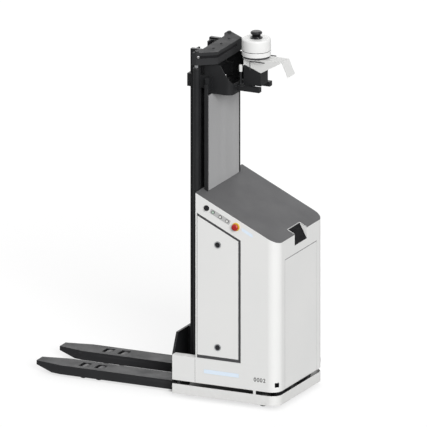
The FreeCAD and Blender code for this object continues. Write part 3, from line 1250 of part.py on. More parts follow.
def make_sensor_head():
    shelf_top = "shelf_bottom + shelf_height"
    arms = []
    for name, side in SIDES:
        arms.append(box(f"shelf_arm_{name}", ("bracket_front", "shelf_front"),
                        mirrored(side, "shelf_half - shelf_arm", "shelf_half"),
                        ("shelf_bottom", shelf_top)))
    arms.append(box("shelf_board", ("bracket_front", "wedge_front - board_inset"),
                    ("-shelf_half + weld_lap", "shelf_half - weld_lap"),
                    (f"{shelf_top} - board_wall", shelf_top)))
    arms.append(box("shelf_beam", ("bracket_front", "bracket_front + beam_depth"),
                    ("-shelf_half + weld_lap", "shelf_half - weld_lap"), ("shelf_bottom", shelf_top)))
    wedge = prism("wedge_outside", "y",
                  [("wedge_rear", "wedge_foot"), ("wedge_front", "wedge_foot"),
                   ("wedge_front", "wedge_low"), ("wedge_rear", "wedge_high")],
                  ("-wedge_half", "wedge_half"))
    hollow = prism("wedge_inside", "y",
                   [("wedge_rear - 5", "wedge_foot + bracket_wall"),
                    ("wedge_front - bracket_wall", "wedge_foot + bracket_wall"),
                    ("wedge_front - bracket_wall", "wedge_high"), ("wedge_rear - 5", "wedge_high + 5")],
                   ("-(wedge_half - bracket_wall)", "wedge_half - bracket_wall"))
    arms.append(cut("wedge_bracket", wedge, [hollow]))
    node("sensor_shelf", join("sensor_shelf_body", arms))
    under = "arm_height - arm_wall"
    gusset_outline = [("wedge_rear", under), ("wedge_rear", "wedge_high + seat_gap"),
                      ("wedge_front", "wedge_low + seat_gap"), ("arm_end", f"{under} - gusset_end"),
                      ("arm_end", under)]
    plate = box("arm_plate", ("wedge_rear", "arm_front"), ("-wedge_half", "wedge_half"),
                (under, "arm_height"))
    saddle = cylinder("arm_saddle", "z", ("drum_place", "0"), "drum_radius - saddle_inset",
                      (under, "arm_height"))
    flap = prism("arm_flap", "y",
                 [("arm_front", "arm_height"), ("arm_front - arm_wall", under),
                  ("flap_front - arm_wall", "flap_bottom"), ("flap_front", "flap_bottom + flap_bevel")],
                 ("-wedge_half", "wedge_half"))
    pieces = [plate, saddle, flap]
    for name, side in SIDES:
        pieces.append(prism(f"arm_gusset_{name}", "y", gusset_outline,
                            mirrored(side, "wedge_half - arm_wall", "wedge_half")))
    foot = mirrored(1, "-wedge_half + arm_wall", "wedge_half - arm_wall")
    pieces.append(box("arm_rear_wall", ("wedge_rear", "wedge_rear + arm_wall"),
                      (f"{foot[0]} - 1", f"{foot[1]} + 1"), ("wedge_high + seat_gap", under)))
    node("sensor_arm", join("sensor_arm_body", pieces))
    centre = ("drum_place", "0")
    drum = cylinder("drum_outside", "z", centre, "drum_radius", ("drum_bottom", "drum_top"))
    drum_hollow = cylinder("drum_inside", "z", centre, "drum_radius - drum_wall",
                           ("drum_bottom - 5", "drum_top - drum_wall"))
    node("drum_cover", cut("drum_cover_body", drum, [drum_hollow]))
    neck_bottom = "(drum_top + flange_height)"
    cap_bottom = f"({neck_bottom} + neck_height)"
    foot_disc = cylinder("lidar_foot", "z", centre, "lidar_flange", ("drum_top", neck_bottom))
    neck = cylinder("lidar_window", "z", centre, "lidar_neck", (neck_bottom, cap_bottom))
    cap = cylinder("lidar_top", "z", centre, "lidar_cap", (cap_bottom, f"{cap_bottom} + cap_height"))
    chamber = cylinder("lidar_chamber", "z", centre, "rotor_radius + rotor_play",
                       (f"{neck_bottom} - 2", f"{cap_bottom} + 6"))
    pin_bore = cylinder("lidar_pin_bore", "z", centre, "rotor_pin + running_clearance",
                        ("drum_top + 1", f"{neck_bottom} + 1"))
    node("lidar_body", cut("lidar_housing", join("lidar_stack", [foot_disc, neck, cap]),
                           [chamber, pin_bore]))
    mirror = cylinder("lidar_mirror", "z", centre, "rotor_radius",
                      (f"{neck_bottom} - 2 + seat_gap", f"{cap_bottom} + 4"))
    pin = cylinder("lidar_pin", "z", centre, "rotor_pin", ("drum_top + 1.5", neck_bottom))
    node("lidar_rotor", join("lidar_rotor_body", [mirror, pin]))


# ---------------------------------------------------------------- build, test and write

make_base_frame()
make_support_legs()
make_load_rollers()
make_skirt()
make_casters()
make_drive_unit()
make_inside_units()
make_lower_body()
make_upper_casing()
make_lid()
make_front_panel()
make_side_panels()
make_light_windows()
make_controls()
make_outer_mast()
make_inner_mast()
make_yoke()
make_cylinders()
make_chains()
make_carriage()
make_forks()
make_guard()
make_lidar_bracket()
make_sensor_head()
doc.recompute()

for item in doc.Objects:
    if "Invalid" in item.State or "Error" in item.State:
        raise RuntimeError(f"{item.Name} failed: {item.State}")
for item in NODES:
    if item.Shape.isNull() or not item.Shape.isValid() or item.Shape.Volume <= 0:
        raise RuntimeError(f"{item.Label} has no valid shape")

os.makedirs("parts", exist_ok=True)
for item in NODES:
    item.Shape.exportStep(f"parts/{item.Label}.step")
    print(item.Label, len(item.Shape.Solids), round(item.Shape.Volume / 1000, 1), "cm3")
print(len(NODES), "nodes")
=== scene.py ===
"""Looks of the autonomous pallet stacker: finishes, small fittings, light and camera.

Lengths are in metres in the model's own frame: +X to the casing's front, forks along -X,
+Y to the robot's left, +Z up, floor at zero. Turned profiles are written in millimetres.
"""
import math

import bpy
import numpy as np
from mathutils import Matrix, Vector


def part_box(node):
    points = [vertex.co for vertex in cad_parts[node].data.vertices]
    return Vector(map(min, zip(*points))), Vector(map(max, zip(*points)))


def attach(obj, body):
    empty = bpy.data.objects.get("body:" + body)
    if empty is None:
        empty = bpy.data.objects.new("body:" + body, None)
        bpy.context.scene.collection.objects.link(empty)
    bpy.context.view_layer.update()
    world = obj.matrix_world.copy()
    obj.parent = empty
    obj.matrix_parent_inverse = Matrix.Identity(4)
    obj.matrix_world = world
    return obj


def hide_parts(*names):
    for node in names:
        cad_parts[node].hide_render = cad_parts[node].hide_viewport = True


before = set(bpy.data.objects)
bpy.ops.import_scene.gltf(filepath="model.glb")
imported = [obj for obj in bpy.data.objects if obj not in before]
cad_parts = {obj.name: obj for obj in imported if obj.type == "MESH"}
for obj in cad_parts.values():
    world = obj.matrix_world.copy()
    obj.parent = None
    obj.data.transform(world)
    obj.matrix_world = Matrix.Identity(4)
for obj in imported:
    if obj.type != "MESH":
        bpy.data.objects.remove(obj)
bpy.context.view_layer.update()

MM = 0.001
TURN = 2 * math.pi
SIDES = (("left", 1), ("right", -1))
BOTH = (1, -1)
FORWARD, LEFT, UP = np.eye(3)


def vector(x, y, z):
    """A point or a direction as an array."""
    return np.array([x, y, z], float)


def box(node):
    """Lowest and highest corner of a CAD node as arrays."""
    low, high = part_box(node)
    return np.array(low), np.array(high)


def centre(node):
    """Middle of a CAD node's box."""
    low, high = box(node)
    return (low + high) / 2


# ---------------------------------------------------------------- finishes


class NodeGraph:
    """A node tree with short ways to add, join and calculate."""

    def __init__(self, tree):
        self.nodes = tree.nodes
        self.links = tree.links

    def node(self, kind, **settings):
        """A new node with its settings."""
        made = self.nodes.new(kind)
        for name, value in settings.items():
            setattr(made, name, value)
        return made

    def join(self, source, target):
        """A link from one socket to another."""
        self.links.new(source, target)

    def split(self, source):
        """The X, Y and Z of a vector."""
        made = self.node("ShaderNodeSeparateXYZ")
        self.join(source, made.inputs["Vector"])
        return made.outputs

    def band(self, source, low, high, start=0.0, end=1.0):
        """A value mapped from low..high to start..end and clamped there."""
        made = self.node("ShaderNodeMapRange", clamp=True)
        made.inputs["From Min"].default_value = low
        made.inputs["From Max"].default_value = high
        made.inputs["To Min"].default_value = start
        made.inputs["To Max"].default_value = end
        self.join(source, made.inputs["Value"])
        return made.outputs["Result"]

    def maths(self, operation, first, second=None, clamp=False):
        """One operation on sockets or plain numbers."""
        made = self.node("ShaderNodeMath", operation=operation, use_clamp=clamp)
        for socket, value in zip(made.inputs, (first, second)):
            if isinstance(value, (int, float)):
                socket.default_value = value
            elif value is not None:
                self.join(value, socket)
        return made.outputs["Value"]


class Finish(NodeGraph):
    """A material in the making, with its shader and its place on the piece."""

    def __init__(self, name, colour, roughness, metallic=0.0, **sockets):
        self.material = bpy.data.materials.new(name)
        self.material.use_nodes = True
        super().__init__(self.material.node_tree)
        self.shader = self.nodes["Principled BSDF"]
        self.shader.inputs["Base Color"].default_value = (*colour, 1)
        self.shader.inputs["Roughness"].default_value = roughness
        self.shader.inputs["Metallic"].default_value = metallic
        for socket, value in sockets.items():
            self.shader.inputs[socket.replace("_", " ")].default_value = value
        self.material.diffuse_color = (*colour, 1)
        self.place = self.node("ShaderNodeTexCoord").outputs["Object"]

    def moved(self, location=(0, 0, 0), scale=(1, 1, 1)):
        """Object coordinates shifted and stretched."""
        mapping = self.node("ShaderNodeMapping")
        mapping.inputs["Location"].default_value = location
        mapping.inputs["Scale"].default_value = scale
        self.join(self.place, mapping.inputs["Vector"])
        return mapping.outputs["Vector"]

    def noise(self, scale, detail=3.0, stretch=(1, 1, 1)):
        """Cloudy noise from 0 to 1 with a given number of waves per metre."""
        made = self.node("ShaderNodeTexNoise")
        made.inputs["Scale"].default_value = scale
        made.inputs["Detail"].default_value = detail
        self.join(self.moved(scale=stretch), made.inputs["Vector"])
        return made.outputs["Fac"]

    def tint(self, mask, colour):
        """Blend another colour in where the mask is 1."""
        made = self.node("ShaderNodeMix", data_type="RGBA")
        first, second = (socket for socket in made.inputs if socket.type == "RGBA")
        second.default_value = (*colour, 1)
        current = self.shader.inputs["Base Color"]
        if current.is_linked:
            self.join(current.links[0].from_socket, first)
        else:
            first.default_value = current.default_value
        self.join(mask, made.inputs["Factor"])
        result = [socket for socket in made.outputs if socket.type == "RGBA"][0]
        self.join(result, current)

    def rough(self, source, low, high):
        """Roughness that follows a value from low to high."""
        self.join(self.band(source, 0.3, 0.7, low, high), self.shader.inputs["Roughness"])

    def soft_normal(self, radius):
        """The surface's normal as if its edges were rounded by a radius."""
        soft = self.node("ShaderNodeBevel", samples=4)
        soft.inputs["Radius"].default_value = radius
        return soft.outputs["Normal"]

    def edges(self, radius, strength=1.0):
        """1 along sharp edges and 0 on flat faces, broken up by noise.

        The mask is 1 where the rounded and the true normal differ: their dot product under 0.93.
        """
        true = self.node("ShaderNodeNewGeometry")
        likeness = self.node("ShaderNodeVectorMath", operation="DOT_PRODUCT")
        self.join(self.soft_normal(radius), likeness.inputs[0])
        self.join(true.outputs["Normal"], likeness.inputs[1])
        mask = self.band(likeness.outputs["Value"], 0.999, 0.93)
        patchy = self.band(self.noise(35, 4), 0.42, 0.62, 0.15, 1.0)
        return self.maths("MULTIPLY", self.maths("MULTIPLY", mask, patchy), strength)

    def relief(self, source, depth, radius=None):
        """Bump of a given depth in metres, over softly rounded edges where a radius is given."""
        bump = self.node("ShaderNodeBump")
        bump.inputs["Distance"].default_value = depth
        bump.inputs["Strength"].default_value = 1.0
        self.join(source, bump.inputs["Height"])
        if radius:
            self.join(self.soft_normal(radius), bump.inputs["Normal"])
        self.join(bump.outputs["Normal"], self.shader.inputs["Normal"])


def white_powder_coat(name, level, shine, shade_over_lugs=False):
    """Smooth satin white with orange peel, faint clouding, road dust low down and rubbed edges.

    When asked, what stands above the skirt's sheet behind its side opening gets painted shade: a near-black
    tint.
    """
    paint = Finish(name, (level, level, level - 0.01), 0.42, Specular_IOR_Level=shine)
    clouded = (level - 0.04, level - 0.035, level - 0.04)
    paint.tint(paint.band(paint.noise(2.2), 0.35, 0.7, 0.0, 0.5), clouded)
    place = paint.split(paint.place)
    low_dust = paint.band(place["Z"], 0.16, 0.03, 0.0, 0.3)
    dust = paint.maths("MULTIPLY", low_dust, paint.noise(28, 5))
    paint.tint(dust, (0.46, 0.44, 0.41))
    paint.tint(paint.edges(1.2 * MM, 0.35), (0.62, 0.62, 0.61))
    if shade_over_lugs:
        # Painted shade: a near-black tint over what stands in the skirt's shaded side opening at the rear.
        above = paint.band(place["Z"], 0.1025, 0.1035)
        behind = paint.band(place["X"], 0.31, 0.30)
        paint.tint(paint.maths("MULTIPLY", above, behind), (0.012, 0.012, 0.013))
    paint.rough(paint.noise(6, 4), 0.38, 0.48)
    paint.relief(paint.noise(420, 2), 0.04 * MM, 1.5 * MM)
    return paint.material


def black_powder_coat(name, colour, worn, rubbed=None, shine=0.25):
    """Fine textured black, worn in patches, with chipped edges.

    Sliding members give rubbed, the stretch of the pale rub marks along their length.
    """
    paint = Finish(name, colour, 0.45, Specular_IOR_Level=shine)
    paint.tint(paint.band(paint.noise(4, 5), 0.4, 0.75, 0.0, 0.6), worn)
    if rubbed:
        rub = paint.noise(60, 3, stretch=rubbed)
        paint.tint(paint.band(rub, 0.56, 0.72, 0.0, 0.3), (0.07, 0.07, 0.073))
    paint.tint(paint.edges(1.5 * MM, 0.7), (0.13, 0.13, 0.134))
    paint.rough(paint.noise(9, 4), 0.40, 0.55)
    paint.relief(paint.noise(700, 2), 0.08 * MM, 2 * MM)
    return paint.material


def lid_powder_coat():
    """Matt mid grey with a fine speckle and slightly polished edges."""
    paint = Finish("lid_powder_coat", (0.098, 0.098, 0.101), 0.62, Specular_IOR_Level=0.4)
    paint.tint(paint.band(paint.noise(900, 1), 0.5, 0.7, 0.0, 0.5), (0.135, 0.135, 0.138))
    paint.tint(paint.band(paint.noise(3, 4), 0.45, 0.75, 0.0, 0.6), (0.09, 0.09, 0.094))
    paint.tint(paint.edges(1.5 * MM, 0.5), (0.24, 0.24, 0.245))
    paint.rough(paint.noise(7, 3), 0.55, 0.68)
    paint.relief(paint.noise(850, 2), 0.1 * MM, 1.5 * MM)
    return paint.material


def rubber_and_painted_shade():
    """Matt black rubber with a fine extrusion grain and pale bloom; it also colours the dark strips of
    painted shadow in gaps.
    """
    rubber = Finish("rubber_and_painted_shade", (0.05, 0.05, 0.053), 0.8)
    rubber.tint(rubber.band(rubber.noise(18, 5), 0.5, 0.8, 0.0, 0.5), (0.09, 0.09, 0.09))
    rubber.relief(rubber.noise(600, 2, stretch=(0.2, 1, 0.2)), 0.1 * MM, 1 * MM)
    return rubber.material


def machined_steel():
    """Oiled steel with turning marks, dull patches and bright edges."""
    steel = Finish("machined_steel", (0.50, 0.50, 0.51), 0.32, metallic=1.0)
    steel.tint(steel.band(steel.noise(25, 5), 0.45, 0.7, 0.0, 0.7), (0.34, 0.33, 0.32))
    steel.tint(steel.edges(0.8 * MM), (0.75, 0.75, 0.75))
    steel.rough(steel.noise(260, 2, stretch=(1, 0.1, 1)), 0.24, 0.42)
    steel.relief(steel.noise(900, 1, stretch=(1, 0.05, 1)), 0.03 * MM, 0.6 * MM)
    return steel.material


def plated_rod():
    """Ground and plated rod with a thin oil film in long streaks."""
    rod = Finish("plated_rod", (0.74, 0.75, 0.77), 0.14, metallic=1.0)
    rod.tint(rod.band(rod.noise(40, 3, stretch=(1, 1, 0.03)), 0.5, 0.7, 0.0, 0.5), (0.5, 0.5, 0.5))
    rod.rough(rod.noise(60, 3, stretch=(1, 1, 0.05)), 0.10, 0.24)
    rod.relief(rod.noise(1200, 1, stretch=(1, 1, 0.3)), 0.01 * MM)
    return rod.material


def chain_steel(pitch, leaf):
    """Leaf chain: painted shade in the gaps between links along Z and between leaves along Y, each a sine
    wave.
    """
    steel = Finish("chain_steel", (0.24, 0.235, 0.23), 0.4, metallic=1.0)
    place = steel.split(steel.place)
    links = steel.maths("SINE", steel.maths("MULTIPLY", place["Z"], TURN / pitch))
    leaves = steel.maths("SINE", steel.maths("MULTIPLY", place["Y"], TURN / leaf))
    # Painted shade: near-black bands where the gaps between links and between leaves lie.
    steel.tint(steel.band(links, 0.75, 0.95, 0.0, 0.9), (0.02, 0.02, 0.02))
    steel.tint(steel.band(leaves, 0.4, 0.8, 0.0, 0.7), (0.05, 0.048, 0.045))
    steel.tint(steel.band(steel.noise(50, 4), 0.5, 0.75, 0.0, 0.4), (0.12, 0.09, 0.06))
    steel.relief(steel.maths("ADD", links, leaves), 0.4 * MM)
    return steel.material


def moulded_plastic(name, colour, roughness, pale, grain=500.0, shine=0.5):
    """Moulded plastic with spark-eroded grain, slight clouding and scuffed edges."""
    plastic = Finish(name, colour, roughness, Specular_IOR_Level=shine)
    plastic.tint(plastic.band(plastic.noise(14, 5), 0.45, 0.8, 0.0, 0.35), pale)
    plastic.tint(plastic.edges(0.8 * MM, 0.6), pale)
    plastic.rough(plastic.noise(22, 4), max(roughness - 0.06, 0.05), roughness + 0.08)
    plastic.relief(plastic.noise(grain, 2), 0.05 * MM, 0.8 * MM)
    return plastic.material


def light_guide():
    """Milky pale blue light guide that glows faintly, with a fine prism texture."""
    guide = Finish("light_guide", (0.68, 0.77, 0.87), 0.3, Emission_Strength=0.10,
                   Emission_Color=(0.62, 0.80, 1.0, 1))
    guide.tint(guide.band(guide.noise(9, 3), 0.4, 0.7, 0.0, 0.4), (0.75, 0.82, 0.90))
    guide.relief(guide.noise(300, 1, stretch=(1, 1, 0.1)), 0.06 * MM, 0.6 * MM)
    guide.rough(guide.noise(30, 3), 0.26, 0.36)
    return guide.material


def smoked_sheet():
    """Smoked clear sheet with faint vertical wiping marks and a little dust."""
    sheet = Finish("smoked_sheet", (0.43, 0.43, 0.435), 0.2, Alpha=0.90)
    sheet.tint(sheet.band(sheet.noise(5, 5, stretch=(1, 1, 0.3)), 0.45, 0.8, 0.0, 0.5),
               (0.38, 0.38, 0.38))
    sheet.rough(sheet.noise(30, 4, stretch=(1, 1, 0.1)), 0.12, 0.26)
    sheet.relief(sheet.noise(12, 2), 0.05 * MM)
    return sheet.material


def machine_enamel(name, colour):
    """Plain machine enamel with brush marks, oil stains and chipped edges."""
    enamel = Finish(name, colour, 0.4)
    stained = tuple(value * 0.6 for value in colour)
    enamel.tint(enamel.band(enamel.noise(8, 5), 0.5, 0.75, 0.0, 0.6), stained)
    enamel.tint(enamel.edges(1 * MM), (0.5, 0.5, 0.5))
    enamel.rough(enamel.noise(15, 4), 0.3, 0.5)
    enamel.relief(enamel.noise(350, 2), 0.08 * MM, 1 * MM)
    return enamel.material


def rolling_tread(name, axle, hub_radius, rim_radius, tread_colour):
    """A wheel that turns about Y: machined hub, dark bore, ring marks and a scuffed moulded tread.

    Each zone is a band of the distance from the axle, the length of (x, 0, z) measured from it.
    """
    wheel = Finish(name, tread_colour, 0.55)
    flat = wheel.node("ShaderNodeVectorMath", operation="MULTIPLY")
    wheel.join(wheel.moved(location=(-axle[0], 0, -axle[2])), flat.inputs[0])
    flat.inputs[1].default_value = (1, 0, 1)
    length = wheel.node("ShaderNodeVectorMath", operation="LENGTH")
    wheel.join(flat.outputs["Vector"], length.inputs[0])
    radius = length.outputs["Value"]
    wheel.tint(wheel.band(wheel.noise(30, 5), 0.5, 0.75, 0.0, 0.6), (0.17, 0.165, 0.16))
    wheel.tint(wheel.band(radius, rim_radius, rim_radius - 1 * MM), (0.36, 0.36, 0.37))
    wheel.tint(wheel.band(radius, hub_radius, hub_radius - 1 * MM, 0.0, 0.8), (0.12, 0.12, 0.125))
    marks = wheel.maths("SINE", wheel.maths("MULTIPLY", radius, TURN / (6 * MM)))
    wheel.tint(wheel.band(marks, 0.9, 1.0, 0.0, 0.35), (0.03, 0.03, 0.03))
    wheel.rough(wheel.noise(40, 4), 0.45, 0.65)
    wheel.relief(wheel.noise(420, 2), 0.12 * MM, 1.2 * MM)
    return wheel.material


WHITE = white_powder_coat("white_powder_coat", 0.80, 0.5)
ARM_WHITE = white_powder_coat("arm_powder_coat", 0.72, 0.04)
SKIRT_WHITE = white_powder_coat("skirt_powder_coat", 0.80, 0.5, shade_over_lugs=True)
BLACK = black_powder_coat("black_powder_coat", (0.013, 0.0134, 0.0145), (0.020, 0.0205, 0.0215))
YOKE_BLACK = black_powder_coat("yoke_powder_coat", (0.030, 0.0305, 0.032), (0.038, 0.0385, 0.040),
                               shine=0.06)
MAST_BLACK = black_powder_coat("mast_powder_coat", (0.012, 0.0125, 0.0135), (0.019, 0.0195, 0.021),
                               rubbed=(1.5, 1.5, 0.02))
FORK_BLACK = black_powder_coat("fork_powder_coat", (0.026, 0.0265, 0.028), (0.034, 0.0345, 0.036),
                               rubbed=(0.02, 1.5, 1.5), shine=0.12)
LID = lid_powder_coat()
RUBBER_AND_SHADE = rubber_and_painted_shade()
STEEL = machined_steel()
CHROME = plated_rod()
CHAIN = chain_steel(pitch=15.9 * MM, leaf=2.8 * MM)
NYLON = moulded_plastic("cast_nylon", (0.55, 0.52, 0.42), 0.5, (0.62, 0.6, 0.5))
DARK_PLASTIC = moulded_plastic("dark_plastic", (0.018, 0.018, 0.02), 0.34, (0.05, 0.05, 0.052), shine=0.2)
SENSOR_BLACK = moulded_plastic("sensor_window_black", (0.004, 0.004, 0.005), 0.4, (0.009, 0.009, 0.01),
                               grain=90.0, shine=0.06)
GREEN = moulded_plastic("green_button", (0.50, 0.62, 0.53), 0.25, (0.42, 0.52, 0.45))
PALE_PLASTIC = moulded_plastic("pale_button", (0.72, 0.72, 0.70), 0.25, (0.6, 0.6, 0.58))
YELLOW = moulded_plastic("yellow_ring", (0.70, 0.45, 0.03), 0.36, (0.75, 0.56, 0.18))
RED = moulded_plastic("red_stop", (0.40, 0.012, 0.010), 0.28, (0.5, 0.07, 0.05))
GREY_STRIP = moulded_plastic("grey_strip", (0.48, 0.48, 0.48), 0.4, (0.54, 0.54, 0.54))
LIGHT = light_guide()
SMOKED = smoked_sheet()
BATTERY = moulded_plastic("battery_case", (0.07, 0.085, 0.11), 0.45, (0.13, 0.15, 0.18), grain=300.0)
ENAMEL = machine_enamel("grey_enamel", (0.32, 0.33, 0.34))
# Dark ink for the fleet number; the same finish colours the painted shade in the yoke's groove.
INK_AND_SHADE = moulded_plastic("dark_ink_and_painted_shade", (0.007, 0.007, 0.008), 0.6, (0.014, 0.014, 0.014), grain=250.0, shine=0.15)

NODES_BY_FINISH = (
    (WHITE, "lower_body upper_casing front_panel side_panel_left side_panel_right drum_cover"),
    (SKIRT_WHITE, "skirt"),
    (ARM_WHITE, "sensor_arm"),
    (BLACK, "base_frame support_legs lift_cylinders guard_frame lidar_bracket sensor_shelf drive_fork"
            " caster_fork_left caster_fork_right carriage_plate"),
    (YOKE_BLACK, "yoke"),
    (MAST_BLACK, "outer_mast inner_mast"),
    (FORK_BLACK, "fork_left fork_right"),
    (LID, "lid"),
    (RUBBER_AND_SHADE, "panel_seals"),
    (STEEL, "roller_axles chain_wheels"),
    (CHAIN, "lift_chains anchor_chains"),
    (CHROME, "lift_rods"),
    (NYLON, "mast_guides carriage_guides"),
    (SENSOR_BLACK, "notch_window lidar_rotor"),
    (DARK_PLASTIC, "safety_scanners key_switch lidar_body panel_lock_lower_left panel_lock_upper_left"
                   " panel_lock_lower_right panel_lock_upper_right"),
    (GREEN, "start_button"),
    (PALE_PLASTIC, "reset_button lamp_button"),
    (YELLOW, "stop_collars"),
    (RED, "stop_button_left stop_button_right"),
    (LIGHT, "light_windows"),
    (SMOKED, "guard_screen"),
    (BATTERY, "battery_pack"),
    (ENAMEL, "controller_box hydraulic_unit drive_motor"),
)
NODE_FINISH = {node: finish for finish, nodes in NODES_BY_FINISH for node in nodes.split()}

# hub radius, rim radius and tread colour of each kind of wheel
DRIVE_WHEEL = (45 * MM, 85 * MM, (0.075, 0.075, 0.078))
CASTER_WHEEL = (12 * MM, 30 * MM, (0.10, 0.10, 0.10))
LOAD_ROLLER = (16 * MM, 30 * MM, (0.045, 0.045, 0.048))
WHEELS = {"drive_wheel": DRIVE_WHEEL}
for hand, _ in SIDES:
    WHEELS[f"caster_wheel_{hand}"] = CASTER_WHEEL
    WHEELS[f"load_roller_front_{hand}"] = LOAD_ROLLER
    WHEELS[f"load_roller_rear_{hand}"] = LOAD_ROLLER
for wheel_name, wheel_kind in WHEELS.items():
    NODE_FINISH[wheel_name] = rolling_tread(f"{wheel_name}_tread", centre(wheel_name), *wheel_kind)

for node_name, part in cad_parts.items():
    part.data.materials.clear()
    part.data.materials.append(NODE_FINISH[node_name])


# ---------------------------------------------------------------- surfaces


def add_piece(name, grids, material, body, sharp=30.0, caps=True):
    """One mesh from grids of points (rows, columns, 3); columns close on themselves.

    With caps, a fan to the row's middle closes the first and the last row. Without caps the
    last row joins the first, as in a frame or a ring. Faces are turned to point outwards by
    the sign of the enclosed volume.
    """
    all_points = []
    all_faces = []
    offset = 0
    for grid in grids:
        rows, columns = grid.shape[:2]
        count = rows * columns
        points = grid.reshape(-1, 3)
        index = np.arange(count).reshape(rows, columns)
        here = index[:-1] if caps else index
        above = index[1:] if caps else np.roll(index, -1, axis=0)
        quads = np.stack([here, np.roll(here, -1, 1), np.roll(above, -1, 1), above], -1).reshape(-1, 4)
        faces = [quads]
        triangles = np.concatenate([quads[:, [0, 1, 2]], quads[:, [0, 2, 3]]])
        if caps:
            first, last = index[0], index[-1]
            points = np.vstack([points, grid[0].mean(0), grid[-1].mean(0)])
            lower = np.stack([np.roll(first, -1), first, np.full(columns, count)], -1)
            upper = np.stack([last, np.roll(last, -1), np.full(columns, count + 1)], -1)
            faces += [lower, upper]
            triangles = np.concatenate([triangles, lower, upper])
        a, b, c = points[triangles].transpose(1, 0, 2)
        if np.einsum("ij,ij->i", a, np.cross(b, c)).sum() < 0:
            faces = [face[:, ::-1] for face in faces]
        all_points.append(points)
        all_faces += [row for face in faces for row in (face + offset).tolist()]
        offset += len(points)
    mesh = bpy.data.meshes.new(name)
    mesh.from_pydata(np.vstack(all_points).tolist(), [], all_faces)
    mesh.shade_smooth()
    mesh.set_sharp_from_angle(angle=math.radians(sharp))
    return dress(mesh, name, material, body)


def dress(mesh, name, material, body):
    """An object for a finished mesh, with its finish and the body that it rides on."""
    mesh.materials.append(material)
    piece = bpy.data.objects.new(name, mesh)
    bpy.context.scene.collection.objects.link(piece)
    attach(piece, body)
    return piece


def axes_for(direction):
    """Two unit vectors across a direction, and the direction itself, by cross products."""
    along = np.asarray(direction, float)
    along = along / np.linalg.norm(along)
    helper = UP if abs(along[2]) < 0.9 else FORWARD
    first = np.cross(helper, along)
    first = first / np.linalg.norm(first)
    return first, np.cross(along, first), along


def turned(profile, place, direction, sides=48, wave=None):
    """A profile of (radius, height) pairs turned about a direction through a place.

    Point = place + r(station) * ring(angle) + h(station) * direction. A wave function of the
    angle and the station may scale the radius, for flutes and flats.
    """
    first, second, along = axes_for(direction)
    stations = np.asarray(profile, float)
    angle = np.arange(sides) * TURN / sides
    ring = np.cos(angle)[:, None] * first + np.sin(angle)[:, None] * second
    scale = np.ones((len(stations), sides))
    if wave is not None:
        scale = wave(angle[None, :], np.arange(len(stations))[:, None])
    spread = (stations[:, 0][:, None] * scale)[:, :, None] * ring[None]
    return place + spread + stations[:, 1][:, None, None] * along


def soft_corner(before, here, after, size, steps):
    """A curve round a corner, from one size before it to one size after it.

    Point = (1 - t)^2 * start + 2 t (1 - t) * corner + t^2 * end.
    """
    start = here + (before - here) / np.linalg.norm(before - here) * size
    end = here + (after - here) / np.linalg.norm(after - here) * size
    t = np.linspace(0, 1, steps)[:, None]
    return list((1 - t) ** 2 * start + 2 * t * (1 - t) * here + t ** 2 * end)


def rounded(corners, steps=6):
    """A profile in metres from corners (radius, height, rounding) in millimetres."""
    places = [np.array(corner[:2], float) for corner in corners]
    result = [places[0]]
    for before, here, after, corner in zip(places, places[1:], places[2:], corners[1:]):
        size = corner[2]
        result += soft_corner(before, here, after, size, steps) if size > 0 else [here]
    result.append(places[-1])
    return np.array(result) * MM


def ring_profile(corners):
    """A profile that comes back to its first corner, for a ring without caps."""
    return rounded(corners + corners[:1])[:-1]


def bent(points, corner, steps=7):
    """A path in metres with each inner corner rounded."""
    result = [points[0]]
    for before, here, after in zip(points, points[1:], points[2:]):
        result += soft_corner(before, here, after, corner, steps)
    result.append(points[-1])
    return np.array(result)


def straight(start, end, count):
    """Evenly spaced points on a line: (1 - t) * start + t * end."""
    t = np.linspace(0, 1, count)[:, None]
    return start * (1 - t) + end * t


def rectangle_outline(half_width, half_height, corner, steps=5):
    """A rounded rectangle's outline: four quarter circles joined by straight sides."""
    quarter = np.linspace(0, math.pi / 2, steps)
    middles = np.array([[1, 1], [-1, 1], [-1, -1], [1, -1]])
    inner = middles * np.array([half_width - corner, half_height - corner])
    angle = quarter[None, :] + np.arange(4)[:, None] * math.pi / 2
    arcs = np.stack([np.cos(angle), np.sin(angle)], -1) * corner
    return (inner[:, None, :] + arcs).reshape(-1, 2)


def stacked_outlines(place, across, up, half_width, half_height, stations):
    """Rounded rectangles at stations of (inset, depth, corner), one row each.

    Point = place + outline x * across + outline y * up + depth * the face's normal.
    """
    normal = np.cross(across, up)
    rows = []
    for inset, depth, corner in stations:
        outline = rectangle_outline(half_width - inset, half_height - inset, corner)
        rows.append(place + outline[:, :1] * across + outline[:, 1:] * up + depth * normal)
    return np.array(rows)


def plate(place, across, up, half_width, half_height, corner, thickness, edge=0.6 * MM):
    """A rounded plate: its outline carried through the thickness, drawn in at the outer edge."""
    return stacked_outlines(place, across, up, half_width, half_height,
                            ((0, 0, corner), (0, thickness - edge, corner),
                             (edge, thickness, corner - edge / 2)))


def border(place, across, up, half_width, half_height, corner, width, thickness):
    """A rounded frame: four outlines, outer and inner, low and high, joined into a ring."""
    return stacked_outlines(place, across, up, half_width, half_height,
                            ((0, 0, corner), (0, thickness, corner),
                             (width, thickness, corner - width), (width, 0, corner - width)))


def tube(path, radius, sides, ripple=0.0, waves=0):
    """A round section carried along a path; a ripple of the radius makes a weld bead.

    Point = path(t) + radius * (1 + ripple * sin(waves * turn * t)) * ring(angle).
    """
    tangent = np.gradient(path, axis=0)
    tangent = tangent / np.linalg.norm(tangent, axis=1, keepdims=True)
    helper = np.where(np.abs(tangent[:, 2:]) > 0.9, FORWARD, UP)
    first = np.cross(helper, tangent)
    first = first / np.linalg.norm(first, axis=1, keepdims=True)
    second = np.cross(tangent, first)
    angle = np.arange(sides) * TURN / sides
    station = np.linspace(0, 1, len(path))
    size = radius * (1 + ripple * np.sin(station * TURN * waves))
    ring = np.cos(angle)[None, :, None] * first[:, None] + np.sin(angle)[None, :, None] * second[:, None]
    return path[:, None] + size[:, None, None] * ring


